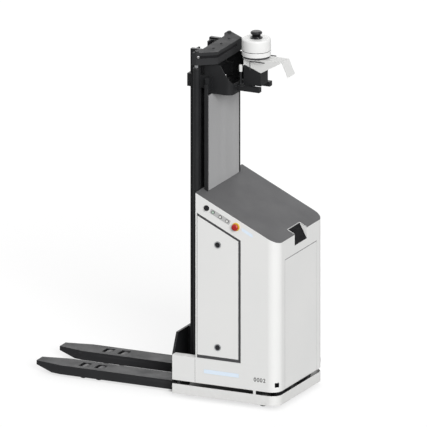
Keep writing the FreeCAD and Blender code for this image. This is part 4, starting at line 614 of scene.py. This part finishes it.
def hexagonal(*rows):
    """A wave that makes the chosen rows of a turned profile hexagons: cos(30 deg) / cos(folded angle)."""
    def factor(angle, station):
        folded = np.mod(angle, TURN / 6) - TURN / 12
        return np.where(np.isin(station, rows), math.cos(TURN / 12) / np.cos(folded), 1.0)
    return factor


def fluted(rows, depth, count):
    """A wave that flutes the chosen rows of a turned profile: 1 - depth + depth * cos(count * angle)."""
    def factor(angle, station):
        return np.where(np.isin(station, rows), 1 - depth + depth * np.cos(count * angle), 1.0)
    return factor


def socket_screw(place, direction, radius):
    """A button head with a hexagon socket: dome outside, hexagonal rows inside."""
    profile = np.array([(1.0, -0.1), (1.0, 0.18), (0.93, 0.36), (0.74, 0.52), (0.56, 0.58),
                        (0.50, 0.56), (0.48, 0.2), (0.2, 0.16)]) * radius
    return turned(profile, place, direction, 24, hexagonal(5, 6))


def hex_bolt(place, direction, radius):
    """A hexagon head on a round washer."""
    profile = np.array([(1.25, -0.1), (1.25, 0.12), (1.22, 0.18), (1.1, 0.18), (1.1, 0.75),
                        (0.95, 0.86), (0.4, 0.86)]) * radius
    return turned(profile, place, direction, 24, hexagonal(3, 4))


# ---------------------------------------------------------------- covers and their fittings

CASING_LOW, CASING_HIGH = box("upper_casing")
BODY_LOW, BODY_HIGH = box("lower_body")
LID_LOW, LID_HIGH = box("lid")
SKIN = CASING_HIGH[1]
FRONT = CASING_HIGH[0]
REAR = CASING_LOW[0]
LID_SHEET = 4 * MM
LID_SLOPE = (LID_HIGH[2] - LID_LOW[2] - LID_SHEET) / (FRONT - REAR)
ALONG_LID = vector(1, 0, -LID_SLOPE) / math.hypot(1, LID_SLOPE)


def side_point(x, side, z, out=0.0):
    """A point on the covers' side skin, standing out by a distance."""
    return vector(x, side * (SKIN + out), z)


def mesh_volume(mesh, points):
    """Signed volume of a mesh: a sixth of the sum of a . (b x c) over its triangles."""
    mesh.calc_loop_triangles()
    corners = np.zeros(len(mesh.loop_triangles) * 3, np.int32)
    mesh.loop_triangles.foreach_get("vertices", corners)
    a, b, c = points[corners.reshape(-1, 3)].transpose(1, 0, 2)
    return np.einsum("ij,ij->i", a, np.cross(b, c)).sum() / 6


def add_side_number(digits, letter_height, behind_front, height):
    """A plain fleet number in thin raised letters low on the right side."""
    letters = bpy.data.curves.new("fleet_number_curve", "FONT")
    letters.body = digits
    letters.size = letter_height
    letters.extrude = 0.2 * MM
    letters.offset = 0.4 * MM
    letters.space_character = 1.15
    holder = bpy.data.objects.new("fleet_number_text", letters)
    bpy.context.scene.collection.objects.link(holder)
    bpy.context.view_layer.update()
    mesh = bpy.data.meshes.new_from_object(holder)
    bpy.data.objects.remove(holder)
    flat = np.zeros(len(mesh.vertices) * 3, np.float32)
    mesh.vertices.foreach_get("co", flat)
    flat = flat.reshape(-1, 3)
    flat = flat - (flat.max(0) + flat.min(0)) / 2
    x = FRONT - behind_front + flat[:, 0]
    y = -SKIN - 0.1 * MM - flat[:, 2]
    points = np.stack([x, y, height + flat[:, 1]], -1).astype(np.float32)
    mesh.vertices.foreach_set("co", points.ravel())
    if mesh_volume(mesh, points) < 0:
        mesh.flip_normals()
    mesh.name = "fleet_number"
    mesh.materials.clear()
    dress(mesh, "fleet_number", INK_AND_SHADE, "chassis")


def add_corner_windows():
    """Small black sensor windows bent round the two front corners.

    Point = corner axis + (radius + stand-out) * (cos, sin)(angle), with height as the second
    parameter; the outline is a rounded square wrapped on the corner's cylinder.
    """
    radius = 78 * MM
    half = 17 * MM
    middle = math.radians(39)
    for name, side in SIDES:
        axis = vector(FRONT - radius, side * (SKIN - radius), 0.182)
        rows = []
        for inset, out in ((0, -1.0), (0, 0.5), (1.5, 1.1), (6, 1.1), (11, 1.1), (16, 1.1)):
            size = half - inset * MM
            outline = rectangle_outline(size, size, min(4 * MM, 0.9 * size))
            angle = middle + outline[:, 0] / radius
            reach = radius + out * MM
            rows.append(axis + np.stack([np.cos(angle) * reach, side * np.sin(angle) * reach,
                                         outline[:, 1]], -1))
        add_piece(f"corner_window_{name}", [np.array(rows)], SENSOR_BLACK, "chassis")


def add_seam_shadows():
    """Painted shadow lines where covers meet: thin closed dark strips level with the sheet or just
    proud of it, where shade falls in the gaps.

    An upright strip stands beside each wing and on each side of the front panel, and one lies in
    the gap above that panel.
    """
    low, high = BODY_LOW[2] + 4 * MM, BODY_HIGH[2] - 2 * MM
    foot, top = 0.135, box("front_panel")[1][2] - 14 * MM
    panel_edge = 0.2615
    strips = []
    for side in BOTH:
        wing = side_point(REAR - 4 * MM, side, (low + high) / 2, -0.3 * MM)
        strips.append(plate(wing, -side * FORWARD, UP, half_width=0.9 * MM, half_height=(high - low) / 2,
                            corner=0.4 * MM, thickness=0.5 * MM, edge=0.1 * MM))
        panel = vector(FRONT - 0.6 * MM, side * panel_edge, (top + foot) / 2)
        strips.append(plate(panel, LEFT, UP, half_width=0.7 * MM, half_height=(top - foot) / 2,
                            corner=0.3 * MM, thickness=0.6 * MM, edge=0.1 * MM))
    add_piece("seam_painted_shadows", strips, RUBBER_AND_SHADE, "chassis")
    gap = plate(vector(FRONT - 0.69 * MM, 0, top + 1.2 * MM), LEFT, UP, half_width=panel_edge + 0.5 * MM,
                half_height=2.4 * MM, corner=1 * MM, thickness=0.7 * MM, edge=0.2 * MM)
    add_piece("panel_gap_painted_shadow", [gap], RUBBER_AND_SHADE, "chassis")


def add_light_frames():
    """Thin frames round the light bands."""
    frames = []
    for side in BOTH:
        place = side_point(REAR + 0.2025, side, BODY_LOW[2] + 93 * MM, -0.3 * MM)
        frames.append(border(place, -side * FORWARD, UP, half_width=0.1385, half_height=16.5 * MM,
                             corner=3 * MM, width=1.8 * MM, thickness=0.8 * MM))
    add_piece("light_frames", frames, WHITE, "chassis", caps=False)


def add_notch_trim():
    """A pale edging bead round the sensor notch, along the lid's slope and across its rear, and
    the dark lens that lies on the notch's slanting window."""
    half = 0.1005
    rear = FRONT - 0.0575
    front = FRONT - 3 * MM

    def on_lid(x, y):
        """A point on the lid's slope, just above its sheet."""
        return vector(x, y, LID_HIGH[2] - (x - REAR) * LID_SLOPE + 0.4 * MM)

    path = bent([on_lid(front, -half), on_lid(rear, -half), on_lid(rear, half), on_lid(front, half)],
                6 * MM)
    add_piece("notch_trim", [tube(path, 1.8 * MM, 10)], WHITE, "chassis")
    window_up = vector(-1, 0, 2) / math.hypot(1, 2)
    lens = plate(centre("notch_window") + vector(4 * MM, 0, 4 * MM), LEFT, window_up,
                 half_width=60 * MM, half_height=34 * MM, corner=12 * MM, thickness=2 * MM)
    add_piece("notch_lens", [lens], SENSOR_BLACK, "chassis")


def add_control_strip():
    """Grey legend strip along the lid's slope, and turned bezels round the key and the buttons."""
    start, reset, lamp = (centre(f"{name}_button") for name in ("start", "reset", "lamp"))
    middle = (start + lamp) / 2
    half = np.linalg.norm((lamp - start)[[0, 2]]) / 2 + 24 * MM
    strip = plate(vector(middle[0], -SKIN + 0.3 * MM, middle[2]), ALONG_LID, np.cross(-LEFT, ALONG_LID),
                  half_width=half, half_height=19 * MM, corner=8 * MM, thickness=1.6 * MM)
    add_piece("legend_strip", [strip], GREY_STRIP, "chassis")
    button_bezel = [(9.4, 0, 0), (13, 0, 0), (13, 3.4, 1), (9.4, 3.8, 0.5)]
    key_bezel = [(17.4, 0, 0), (21, 0, 0), (21, 3, 1), (17.4, 4, 1)]
    fitted = [(spot, button_bezel) for spot in (start, reset, lamp)] + [(centre("key_switch"), key_bezel)]
    bezels = [turned(ring_profile(bezel), vector(spot[0], -SKIN, spot[2]), -LEFT) for spot, bezel in fitted]
    add_piece("control_bezels", bezels, DARK_PLASTIC, "chassis", caps=False)


def add_button_caps():
    """Dished caps in place of the three push buttons."""
    for name, material, slot in (("start", GREEN, "green_plastic"), ("reset", PALE_PLASTIC, "white_plastic"),
                                 ("lamp", PALE_PLASTIC, "white_plastic")):
        node = f"{name}_button"
        low, high = box(node)
        x, _, z = centre(node)
        depth = (high[1] - low[1]) / MM
        cap = turned(rounded([(0.5, 0, 0), (9, 0, 0), (9, depth - 0.4, 1.6), (6, depth - 0.2, 1),
                              (5, depth - 1.4, 0.6), (0.5, depth - 1.8, 0)]), vector(x, high[1], z), -LEFT)
        piece = add_piece(f"{name}_cap", [cap], material, node)
        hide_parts(node)


def add_stop_buttons():
    """Mushroom heads with a fluted rim in place of the emergency stops, each on a yellow ring."""
    for name, side in SIDES:
        node = f"stop_button_{name}"
        low, high = box(node)
        x, _, z = centre(node)
        depth = (high[1] - low[1]) / MM
        head = depth - 19
        profile = rounded([(0.5, 0, 0), (11, 0, 0), (11, head, 0), (21, head, 1), (25, head + 6, 2),
                           (25, depth - 5, 3), (15, depth, 3), (0.5, depth - 0.6, 0)])
        rim = np.where((profile[:, 0] > 22 * MM) & (profile[:, 1] < (depth - 4) * MM))[0]
        foot = vector(x, side * min(abs(low[1]), abs(high[1])), z)
        mushroom = turned(profile, foot, side * LEFT, 80, fluted(rim, 0.015, 20))
        piece = add_piece(f"stop_mushroom_{name}", [mushroom], RED, node)
        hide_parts(node)
        ring = turned(ring_profile([(22, 0, 0), (28.5, 0, 0), (28.5, 1.2, 0.5), (22, 1.2, 0.5)]),
                      side_point(x, side, z, 4.6 * MM), side * LEFT)
        add_piece(f"stop_legend_{name}", [ring], YELLOW, "chassis", caps=False)


def add_lock_rims():
    """A raised rim round the dished face of each panel lock."""
    profile = ring_profile([(19, 0, 0), (25, 0, 0), (25, 1.6, 0.8), (22, 2.2, 0.5), (19, 1.3, 0.2)])
    for name, side in SIDES:
        for level in ("lower", "upper"):
            node = f"panel_lock_{level}_{name}"
            low, high = box(node)
            face = high[1] if side > 0 else -low[1]
            place = vector(low[0] + 25 * MM, side * (face - 1.2 * MM), (low[2] + high[2]) / 2)
            add_piece(f"lock_rim_{level}_{name}", [turned(profile, place, side * LEFT, 64)], ENAMEL, node,
                      caps=False)


def add_cover_screws():
    """Small button screws along the skirt and up the wings."""
    skirt = [(REAR + along, 0.048) for along in (-0.15, -0.05, 0.15, 0.35, 0.55)]
    wing = [(REAR - 0.165, height) for height in (0.16, 0.29)]
    screws = [socket_screw(side_point(x, side, z, -0.4 * MM), side * LEFT, 4 * MM)
              for side in BOTH for x, z in skirt + wing]
    add_piece("cover_screws", screws, WHITE, "chassis")


# ---------------------------------------------------------------- mast, yoke and carriage

MAST_LOW, MAST_HIGH = box("outer_mast")
ROD_LOW, ROD_HIGH = box("lift_rods")
BRACKET_LOW, BRACKET_HIGH = box("lidar_bracket")
ROD_RADIUS = 18 * MM
MAST_SKIN = 0.199
CHANNEL_MIDDLE = 0.155


def rod_point(side, z):
    """A point on the axis of a lift rod."""
    return vector((ROD_LOW[0] + ROD_HIGH[0]) / 2, side * (ROD_HIGH[1] - ROD_RADIUS), z)


def add_mast_details():
    """Bolts through the ties, clamp screws on the bracket's cheeks and end caps on the channels."""
    bolts = []
    for tie_bottom in (MAST_LOW[2] + 0.25, MAST_LOW[2] + 1.17, BRACKET_LOW[2] + 0.12):
        for side in BOTH:
            for lift in (20 * MM, 60 * MM):
                spot = vector(MAST_HIGH[0] - 0.5 * MM, side * 0.154, tie_bottom + lift)
                bolts.append(hex_bolt(spot, FORWARD, 8 * MM))
    for side in BOTH:
        for x in (MAST_LOW[0] + 8 * MM, MAST_LOW[0] + 62 * MM):
            for lift in (55 * MM, 105 * MM):
                spot = vector(x, side * (MAST_SKIN - 0.3 * MM), BRACKET_LOW[2] + lift)
                bolts.append(socket_screw(spot, side * LEFT, 7 * MM))
    add_piece("mast_bolts", bolts, BLACK, "chassis")
    caps = []
    for side in BOTH:
        place = vector(MAST_LOW[0] + 40.5 * MM, side * CHANNEL_MIDDLE, MAST_HIGH[2] - 1 * MM)
        caps.append(plate(place, FORWARD, LEFT, half_width=40 * MM, half_height=15 * MM, corner=3 * MM,
                          thickness=2.6 * MM))
    add_piece("mast_caps", caps, DARK_PLASTIC, "chassis")


def add_yoke_nuts():
    """Nuts on the yoke's slanting ends, and on its top the rods' lock nuts and a row of plugs."""
    low, high = box("yoke")
    nuts = []
    dark = []
    for side in BOTH:
        dark.append(hex_bolt(rod_point(side, high[2] - 1 * MM), UP, 13 * MM))
        slant = vector(0.611, side * 0.791, 0)
        spot = vector(0.309, side * 0.2855, low[2] + 60 * MM)
        nuts.append(hex_bolt(spot - slant * 0.5 * MM, slant, 8 * MM))
    for y in (-0.13, 0.0, 0.13):
        dark.append(socket_screw(vector(low[0] + 0.09, y, high[2] - 0.3 * MM), UP, 9 * MM))
    add_piece("yoke_nuts", nuts, STEEL, "inner_mast")
    add_piece("yoke_plugs", dark, BLACK, "inner_mast")


def add_yoke_groove_shade():
    """Painted shade: dark strips at the bottom of the yoke's groove, where shade falls, along its front and
    its right wing.
    """
    low, high = box("yoke")
    groove = low[2] + 0.64 * (high[2] - low[2])
    front = high[0] - 4.8 * MM
    front_half, wing_half = 0.157, 0.0765
    bend, tip = vector(front, -0.1965, groove), vector(0.2945, -0.291, groove)
    section = {"half_height": 9.7 * MM, "corner": 1 * MM, "thickness": 1 * MM, "edge": 0.2 * MM}
    shade_strips = [plate(vector(front, -0.039, groove), LEFT, UP, front_half, **section),
              plate((bend + tip) / 2, (bend - tip) / np.linalg.norm(bend - tip), UP, wing_half, **section)]
    add_piece("yoke_groove_painted_shade", shade_strips, INK_AND_SHADE, "inner_mast")


def add_cylinder_glands():
    """Turned gland nuts round the rods at the cylinders' heads."""
    profile = ring_profile([(15, 0, 0), (24.5, -22, 0), (25.5, -20, 1), (25.5, 0, 1.5), (21, 5, 1),
                            (15, 5, 0.5)])
    top = box("lift_cylinders")[1][2]
    glands = [turned(profile, rod_point(side, top), UP) for side in BOTH]
    add_piece("cylinder_glands", glands, BLACK, "chassis", caps=False)


def add_carriage_details():
    """Rippled weld beads across the forks' heels, and bolts on the carriage plate."""
    low, high = box("carriage_plate")
    beads = []
    for name, _ in SIDES:
        fork_low, fork_high = box(f"fork_{name}")
        x, z = low[0] - 0.5 * MM, fork_high[2] + 0.5 * MM
        path = straight(vector(x, fork_low[1] + 4 * MM, z), vector(x, fork_high[1] - 4 * MM, z), 181)
        beads.append(tube(path, 3.2 * MM, 10, ripple=0.12, waves=45))
    add_piece("fork_welds", beads, FORK_BLACK, "carriage")
    bolts = [hex_bolt(vector(low[0] + 0.4 * MM, side * y, high[2] - drop), -FORWARD, 9 * MM)
             for side in BOTH for y in (0.052, 0.19) for drop in (0.18, 0.06)]
    add_piece("carriage_bolts", bolts, BLACK, "carriage")


def add_axle_ends():
    """A screw head on both ends of each load roller's axle."""
    ends = []
    for name, _ in SIDES:
        for stage in ("front", "rear"):
            middle = centre(f"load_roller_{stage}_{name}")
            ends += [socket_screw(middle + edge * 74.5 * MM * LEFT, edge * LEFT, 9 * MM) for edge in BOTH]
    add_piece("axle_ends", ends, STEEL, "chassis")


# ---------------------------------------------------------------- sensor head

DRUM_LOW, DRUM_HIGH = box("drum_cover")
HOUSING_LOW, HOUSING_HIGH = box("lidar_body")
ARM_LOW, ARM_HIGH = box("sensor_arm")
DRUM_FOOT = vector((DRUM_LOW[0] + DRUM_HIGH[0]) / 2, (DRUM_LOW[1] + DRUM_HIGH[1]) / 2, DRUM_LOW[2])
HOUSING_FOOT = vector(DRUM_FOOT[0], DRUM_FOOT[1], HOUSING_LOW[2])
# the housing's radii in millimetres
FLANGE, NECK, CAP = 44.5, 30.5, 41.5


def add_drum():
    """The drum with a groove and a rounded shoulder, and its rubber: a drawn-in foot and a band."""
    radius, height = (DRUM_HIGH[0] - DRUM_LOW[0]) / 2 / MM, (DRUM_HIGH[2] - DRUM_LOW[2]) / MM
    inner, ceiling = radius - 3, height - 3
    drum = ring_profile([(inner, 17.4, 0), (radius, 17, 0.8), (radius, 49, 0.8), (radius - 2.4, 50, 0.4),
                         (radius - 2.4, 54, 0.4), (radius, 55, 0.8), (radius, height, 15),
                         (radius * 0.4, height, 0), (8, height, 0), (8, ceiling, 0),
                         (inner - 9, ceiling, 5), (inner, ceiling - 9, 5)])
    piece = add_piece("lidar_drum", [turned(drum, DRUM_FOOT, UP, 128)], WHITE, "chassis",
                      caps=False)
    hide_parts("drum_cover")
    foot = ring_profile([(inner - 12, 0, 0), (inner - 6, 0, 0.5), (inner - 6, 12, 1),
                         (inner + 0.2, 18, 0.5), (inner - 12, 18, 0)])
    band = ring_profile([(radius - 2.8, 50.6, 0), (radius - 1, 50.6, 0.3), (radius - 1, 53.4, 0.3),
                         (radius - 2.8, 53.4, 0)])
    rings = [turned(profile, DRUM_FOOT, UP, 128) for profile in (foot, band)]
    add_piece("drum_seals", rings, RUBBER_AND_SHADE, "chassis", caps=False)


def add_lidar_housing():
    """Lidar housing: flange, waisted neck and a cap with fine cooling flutes, and its dark window."""
    tall = (HOUSING_HIGH[2] - HOUSING_LOW[2]) / MM
    profile = rounded([(1, 0, 0), (FLANGE, 0, 0), (FLANGE, 6, 2), (FLANGE - 6, 9, 2), (NECK + 1, 9, 1),
                       (NECK, 12, 1), (NECK - 2, 20, 6), (NECK, 31, 1), (CAP - 2, 32, 1), (CAP, 35, 1.5),
                       (CAP, tall - 7, 4), (CAP - 9, tall, 4), (1, tall - 0.3, 0)])
    radius, height = profile.T / MM
    flutes = np.where((radius > CAP - 1) & (height > 33) & (height < tall - 5))[0]
    housing = turned(profile, HOUSING_FOOT, UP, 144, fluted(flutes, 0.01, 36))
    piece = add_piece("lidar_housing", [housing], DARK_PLASTIC, "chassis")
    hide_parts("lidar_body")
    window = ring_profile([(NECK - 2.6, 10, 0), (NECK + 0.4, 11.5, 0.5), (NECK - 1.2, 20, 5),
                           (NECK + 0.4, 31, 0.5), (NECK - 2.6, 31.5, 0)])
    add_piece("lidar_window", [turned(window, HOUSING_FOOT, UP, 96)], SENSOR_BLACK, "chassis",
              caps=False)


def add_sensor_screws():
    """Four screws round the housing's flange and two on each side of the sensor arm."""
    screws = []
    reach = (FLANGE - 5) * MM
    for index in range(4):
        angle = math.radians(45 + 90 * index)
        spot = HOUSING_FOOT + vector(math.cos(angle) * reach, math.sin(angle) * reach, 7 * MM)
        screws.append(socket_screw(spot, UP, 3 * MM))
    for side in BOTH:
        for behind, drop in ((0.045, 0.038), (0.130, 0.060)):
            spot = vector(ARM_LOW[0] + behind, side * ARM_HIGH[1], ARM_HIGH[2] - drop)
            screws.append(socket_screw(spot, side * LEFT, 5 * MM))
    add_piece("sensor_screws", screws, ARM_WHITE, "chassis")


def add_gusset_shadows():
    """Painted shadow lines round the arm's gussets, dark strips where shade falls: an upright one at the rear
    and a level one on top.
    """
    gaps = []
    for side in BOTH:
        for along, drop, half_width, half_height in ((0.093, 0.038, 3 * MM, 35 * MM),
                                                     (0.150, 0.0075, 58 * MM, 4 * MM)):
            place = vector(ARM_LOW[0] + along, side * (ARM_HIGH[1] - 0.3 * MM), ARM_HIGH[2] - drop)
            gaps.append(plate(place, -side * FORWARD, UP, half_width, half_height, corner=1 * MM,
                              thickness=0.6 * MM, edge=0.1 * MM))
    add_piece("gusset_painted_shadows", gaps, RUBBER_AND_SHADE, "chassis")


def add_bracket_details():
    """Flange bolts on the lidar bracket, screws on the shelf, and the post that stands on it: a
    dark turned foot and stem under a pale head."""
    shelf_low, _ = box("sensor_shelf")
    shelf_top = shelf_low[2] + 35 * MM
    bolts = []
    for side in BOTH:
        for x in (0.05, 0.12):
            spot = vector(shelf_low[0] + x, side * 0.089, shelf_top - 0.3 * MM)
            bolts.append(socket_screw(spot, UP, 6 * MM))
        for z in (0.030, 0.052):
            spot = vector(BRACKET_HIGH[0] - 0.3 * MM, side * 0.13, BRACKET_LOW[2] + z)
            bolts.append(hex_bolt(spot, FORWARD, 6 * MM))
    add_piece("bracket_bolts", bolts, BLACK, "chassis")
    foot = vector(DRUM_FOOT[0] - 87 * MM, -0.075, shelf_top - 0.5 * MM)
    stem = rounded([(0.5, 0, 0), (12, 0, 0), (12, 8, 2), (8, 12, 2), (8, 98, 1), (0.5, 98, 0)])
    add_piece("shelf_post", [turned(stem, foot, UP)], BLACK, "chassis")
    head = rounded([(0.5, 97, 0), (11, 97, 1), (13, 104, 3), (13, 146, 4), (0.5, 149, 0)])
    add_piece("post_head", [turned(head, foot, UP)], ARM_WHITE, "chassis")


# ---------------------------------------------------------------- inside the casing


def add_battery_details():
    """Two bent carrying handles and a row of terminal covers on the battery."""
    top = box("battery_pack")[1][2]
    x = centre("battery_pack")[0]
    handles = []
    for y in (-0.16, 0.16):
        corners = [vector(x + along, y, top + lift * MM)
                   for along, lift in ((-0.05, -2), (-0.05, 28), (0.05, 28), (0.05, -2))]
        handles.append(tube(bent(corners, 12 * MM), 5 * MM, 14))
    add_piece("battery_handles", handles, DARK_PLASTIC, "chassis")
    covers = [plate(vector(x, y, top - 0.5 * MM), FORWARD, LEFT, half_width=34 * MM, half_height=20 * MM,
                    corner=6 * MM, thickness=9 * MM, edge=2 * MM) for y in (-0.06, 0.0, 0.06)]
    add_piece("terminal_covers", covers, RED, "chassis")


def add_controller_fins():
    """Cooling fins: upright blades with drawn-in edges along the controller's front."""
    low, high = box("controller_box")
    margin = 20 * MM
    half = (high[2] - low[2]) / 2 - margin
    fins = [plate(vector(high[0] + 9 * MM, y - 1.5 * MM, (low[2] + high[2]) / 2), UP, FORWARD,
                  half_width=half, half_height=10 * MM, corner=2 * MM, thickness=3 * MM, edge=0.8 * MM)
            for y in np.linspace(low[1] + margin, high[1] - margin, 12)]
    add_piece("controller_fins", fins, ENAMEL, "chassis")


def add_hydraulic_details():
    """Fluted filler cap and steel motor bands on the hydraulic unit."""
    low, high = box("hydraulic_unit")
    x, y, _ = centre("hydraulic_unit")
    cap = turned(rounded([(0.5, -1, 0), (20, -1, 0), (20, 14, 3), (0.5, 15, 0)]), vector(x, y, high[2]),
                 UP, 72, fluted(range(2, 6), 0.03, 18))
    add_piece("filler_cap", [cap], DARK_PLASTIC, "chassis")
    band = ring_profile([(64, 0, 0), (68, 0, 1), (68, 8, 1), (64, 8, 0)])
    bands = [turned(band, vector(x, y, low[2] + lift), UP, 64) for lift in (0.03, 0.09, 0.15, 0.20)]
    add_piece("motor_bands", bands, STEEL, "chassis", caps=False)


def add_wheel_nuts(count, reach):
    """A circle of wheel nuts on both faces of the drive wheel."""
    middle = centre("drive_wheel")
    face = box("drive_wheel")[1][1] - middle[1] - 8.6 * MM
    nuts = []
    for angle in np.arange(count) * TURN / count:
        out = vector(math.cos(angle) * reach, 0, math.sin(angle) * reach)
        nuts += [hex_bolt(middle + out + edge * face * LEFT, edge * LEFT, 7 * MM) for edge in BOTH]
    add_piece("wheel_nuts", nuts, STEEL, "drive_wheel")


add_side_number("0002", letter_height=42 * MM, behind_front=0.140, height=0.212)
add_corner_windows()
add_seam_shadows()
add_light_frames()
add_notch_trim()
add_control_strip()
add_button_caps()
add_stop_buttons()
add_lock_rims()
add_cover_screws()
add_mast_details()
add_yoke_nuts()
add_yoke_groove_shade()
add_cylinder_glands()
add_carriage_details()
add_axle_ends()
add_drum()
add_lidar_housing()
add_sensor_screws()
add_gusset_shadows()
add_bracket_details()
add_battery_details()
add_controller_fins()
add_hydraulic_details()
add_wheel_nuts(count=6, reach=60 * MM)

# ---------------------------------------------------------------- floor, light and camera


def add_floor(reach, glow_level, shaded, soft):
    """A pale floor that keeps the shadow.

    Part of its white is a glow that only the camera sees, also through the clear screen. The glow
    is left off in the shaded area under the chassis, where the product of four ramps is 1.
    """
    mesh = bpy.data.meshes.new("floor")
    mesh.from_pydata([(-reach, -reach, 0), (reach, -reach, 0), (reach, reach, 0), (-reach, reach, 0)],
                     [], [(0, 1, 2, 3)])
    matt = Finish("pale_floor", (0.35, 0.35, 0.35), 1.0, Specular_IOR_Level=0.0)
    path = matt.node("ShaderNodeLightPath")
    seen = matt.maths("ADD", path.outputs["Is Camera Ray"], path.outputs["Is Transmission Ray"], clamp=True)
    place = matt.split(matt.place)
    ramps = [matt.band(place[axis], edge, edge + inward) for axis, (low, high) in shaded.items()
             for edge, inward in ((low, soft), (high, -soft))]
    shade = ramps[0]
    for ramp in ramps[1:]:
        shade = matt.maths("MULTIPLY", shade, ramp)
    lit = matt.maths("MULTIPLY", matt.maths("MULTIPLY", seen, glow_level), matt.maths("SUBTRACT", 1.0, shade))
    glow = matt.node("ShaderNodeEmission")
    matt.join(lit, glow.inputs["Strength"])
    total = matt.node("ShaderNodeAddShader")
    matt.join(matt.shader.outputs["BSDF"], total.inputs[0])
    matt.join(glow.outputs["Emission"], total.inputs[1])
    matt.join(total.outputs["Shader"], matt.nodes["Material Output"].inputs["Surface"])
    mesh.materials.append(matt.material)
    floor = bpy.data.objects.new("floor", mesh)
    bpy.context.scene.collection.objects.link(floor)


def set_world(light_level):
    """Even studio light, seen as plain white by the camera, in reflections and through clear sheet."""
    world = bpy.data.worlds.new("studio")
    bpy.context.scene.world = world
    world.use_nodes = True
    graph = NodeGraph(world.node_tree)
    sky = graph.nodes["Background"]
    sky.inputs["Color"].default_value = (1, 1, 1, 1)
    path = graph.node("ShaderNodeLightPath")
    seen = graph.maths("ADD", path.outputs["Is Camera Ray"], path.outputs["Is Glossy Ray"])
    seen = graph.maths("ADD", seen, path.outputs["Is Transmission Ray"], clamp=True)
    graph.join(graph.band(seen, 0.0, 1.0, light_level, 1.0), sky.inputs["Strength"])


def placed(name, data, across, up, away, place=(0, 0, 0)):
    """An object for a light or a camera, turned so that it looks against the away direction."""
    pose = np.eye(4)
    pose[:3, :3] = np.stack([across, up, away], -1)
    pose[:3, 3] = place
    made = bpy.data.objects.new(name, data)
    bpy.context.scene.collection.objects.link(made)
    made.matrix_world = Matrix(pose.tolist())
    return made


def add_sun(name, towards, level, angle):
    """A soft sun whose light arrives from a direction; level 1 lights a facing surface as written."""
    lamp = bpy.data.lights.new(name, "SUN")
    lamp.energy = level * math.pi
    lamp.angle = math.radians(angle)
    placed(name, lamp, *axes_for(towards))


def add_camera(azimuth, elevation, width, target):
    """A parallel-projection camera that looks at the target from an azimuth off -Y towards +X."""
    turn, tilt = math.radians(azimuth), math.radians(elevation)
    away = vector(math.sin(turn) * math.cos(tilt), -math.cos(turn) * math.cos(tilt), math.sin(tilt))
    across = vector(math.cos(turn), math.sin(turn), 0)
    lens = bpy.data.cameras.new("camera")
    lens.type = "ORTHO"
    lens.ortho_scale = width
    lens.clip_end = 100.0
    bpy.context.scene.camera = placed("camera", lens, across, np.cross(away, across), away,
                                      np.asarray(target) + away * 8.0)


add_floor(reach=60.0, glow_level=0.70, shaded={"X": (0.05, 0.90), "Y": (-0.28, 0.37)}, soft=0.04)
set_world(0.52)
add_sun("key_light", (0.46, -0.50, 0.30), 0.80, 30)
add_sun("fill_light", (-0.5, 0.6, 0.35), 0.22, 60)
add_camera(25.28, 16.74, 3.018, (0.294, 0.0, 1.268))
bpy.context.scene.view_settings.view_transform = "Standard"
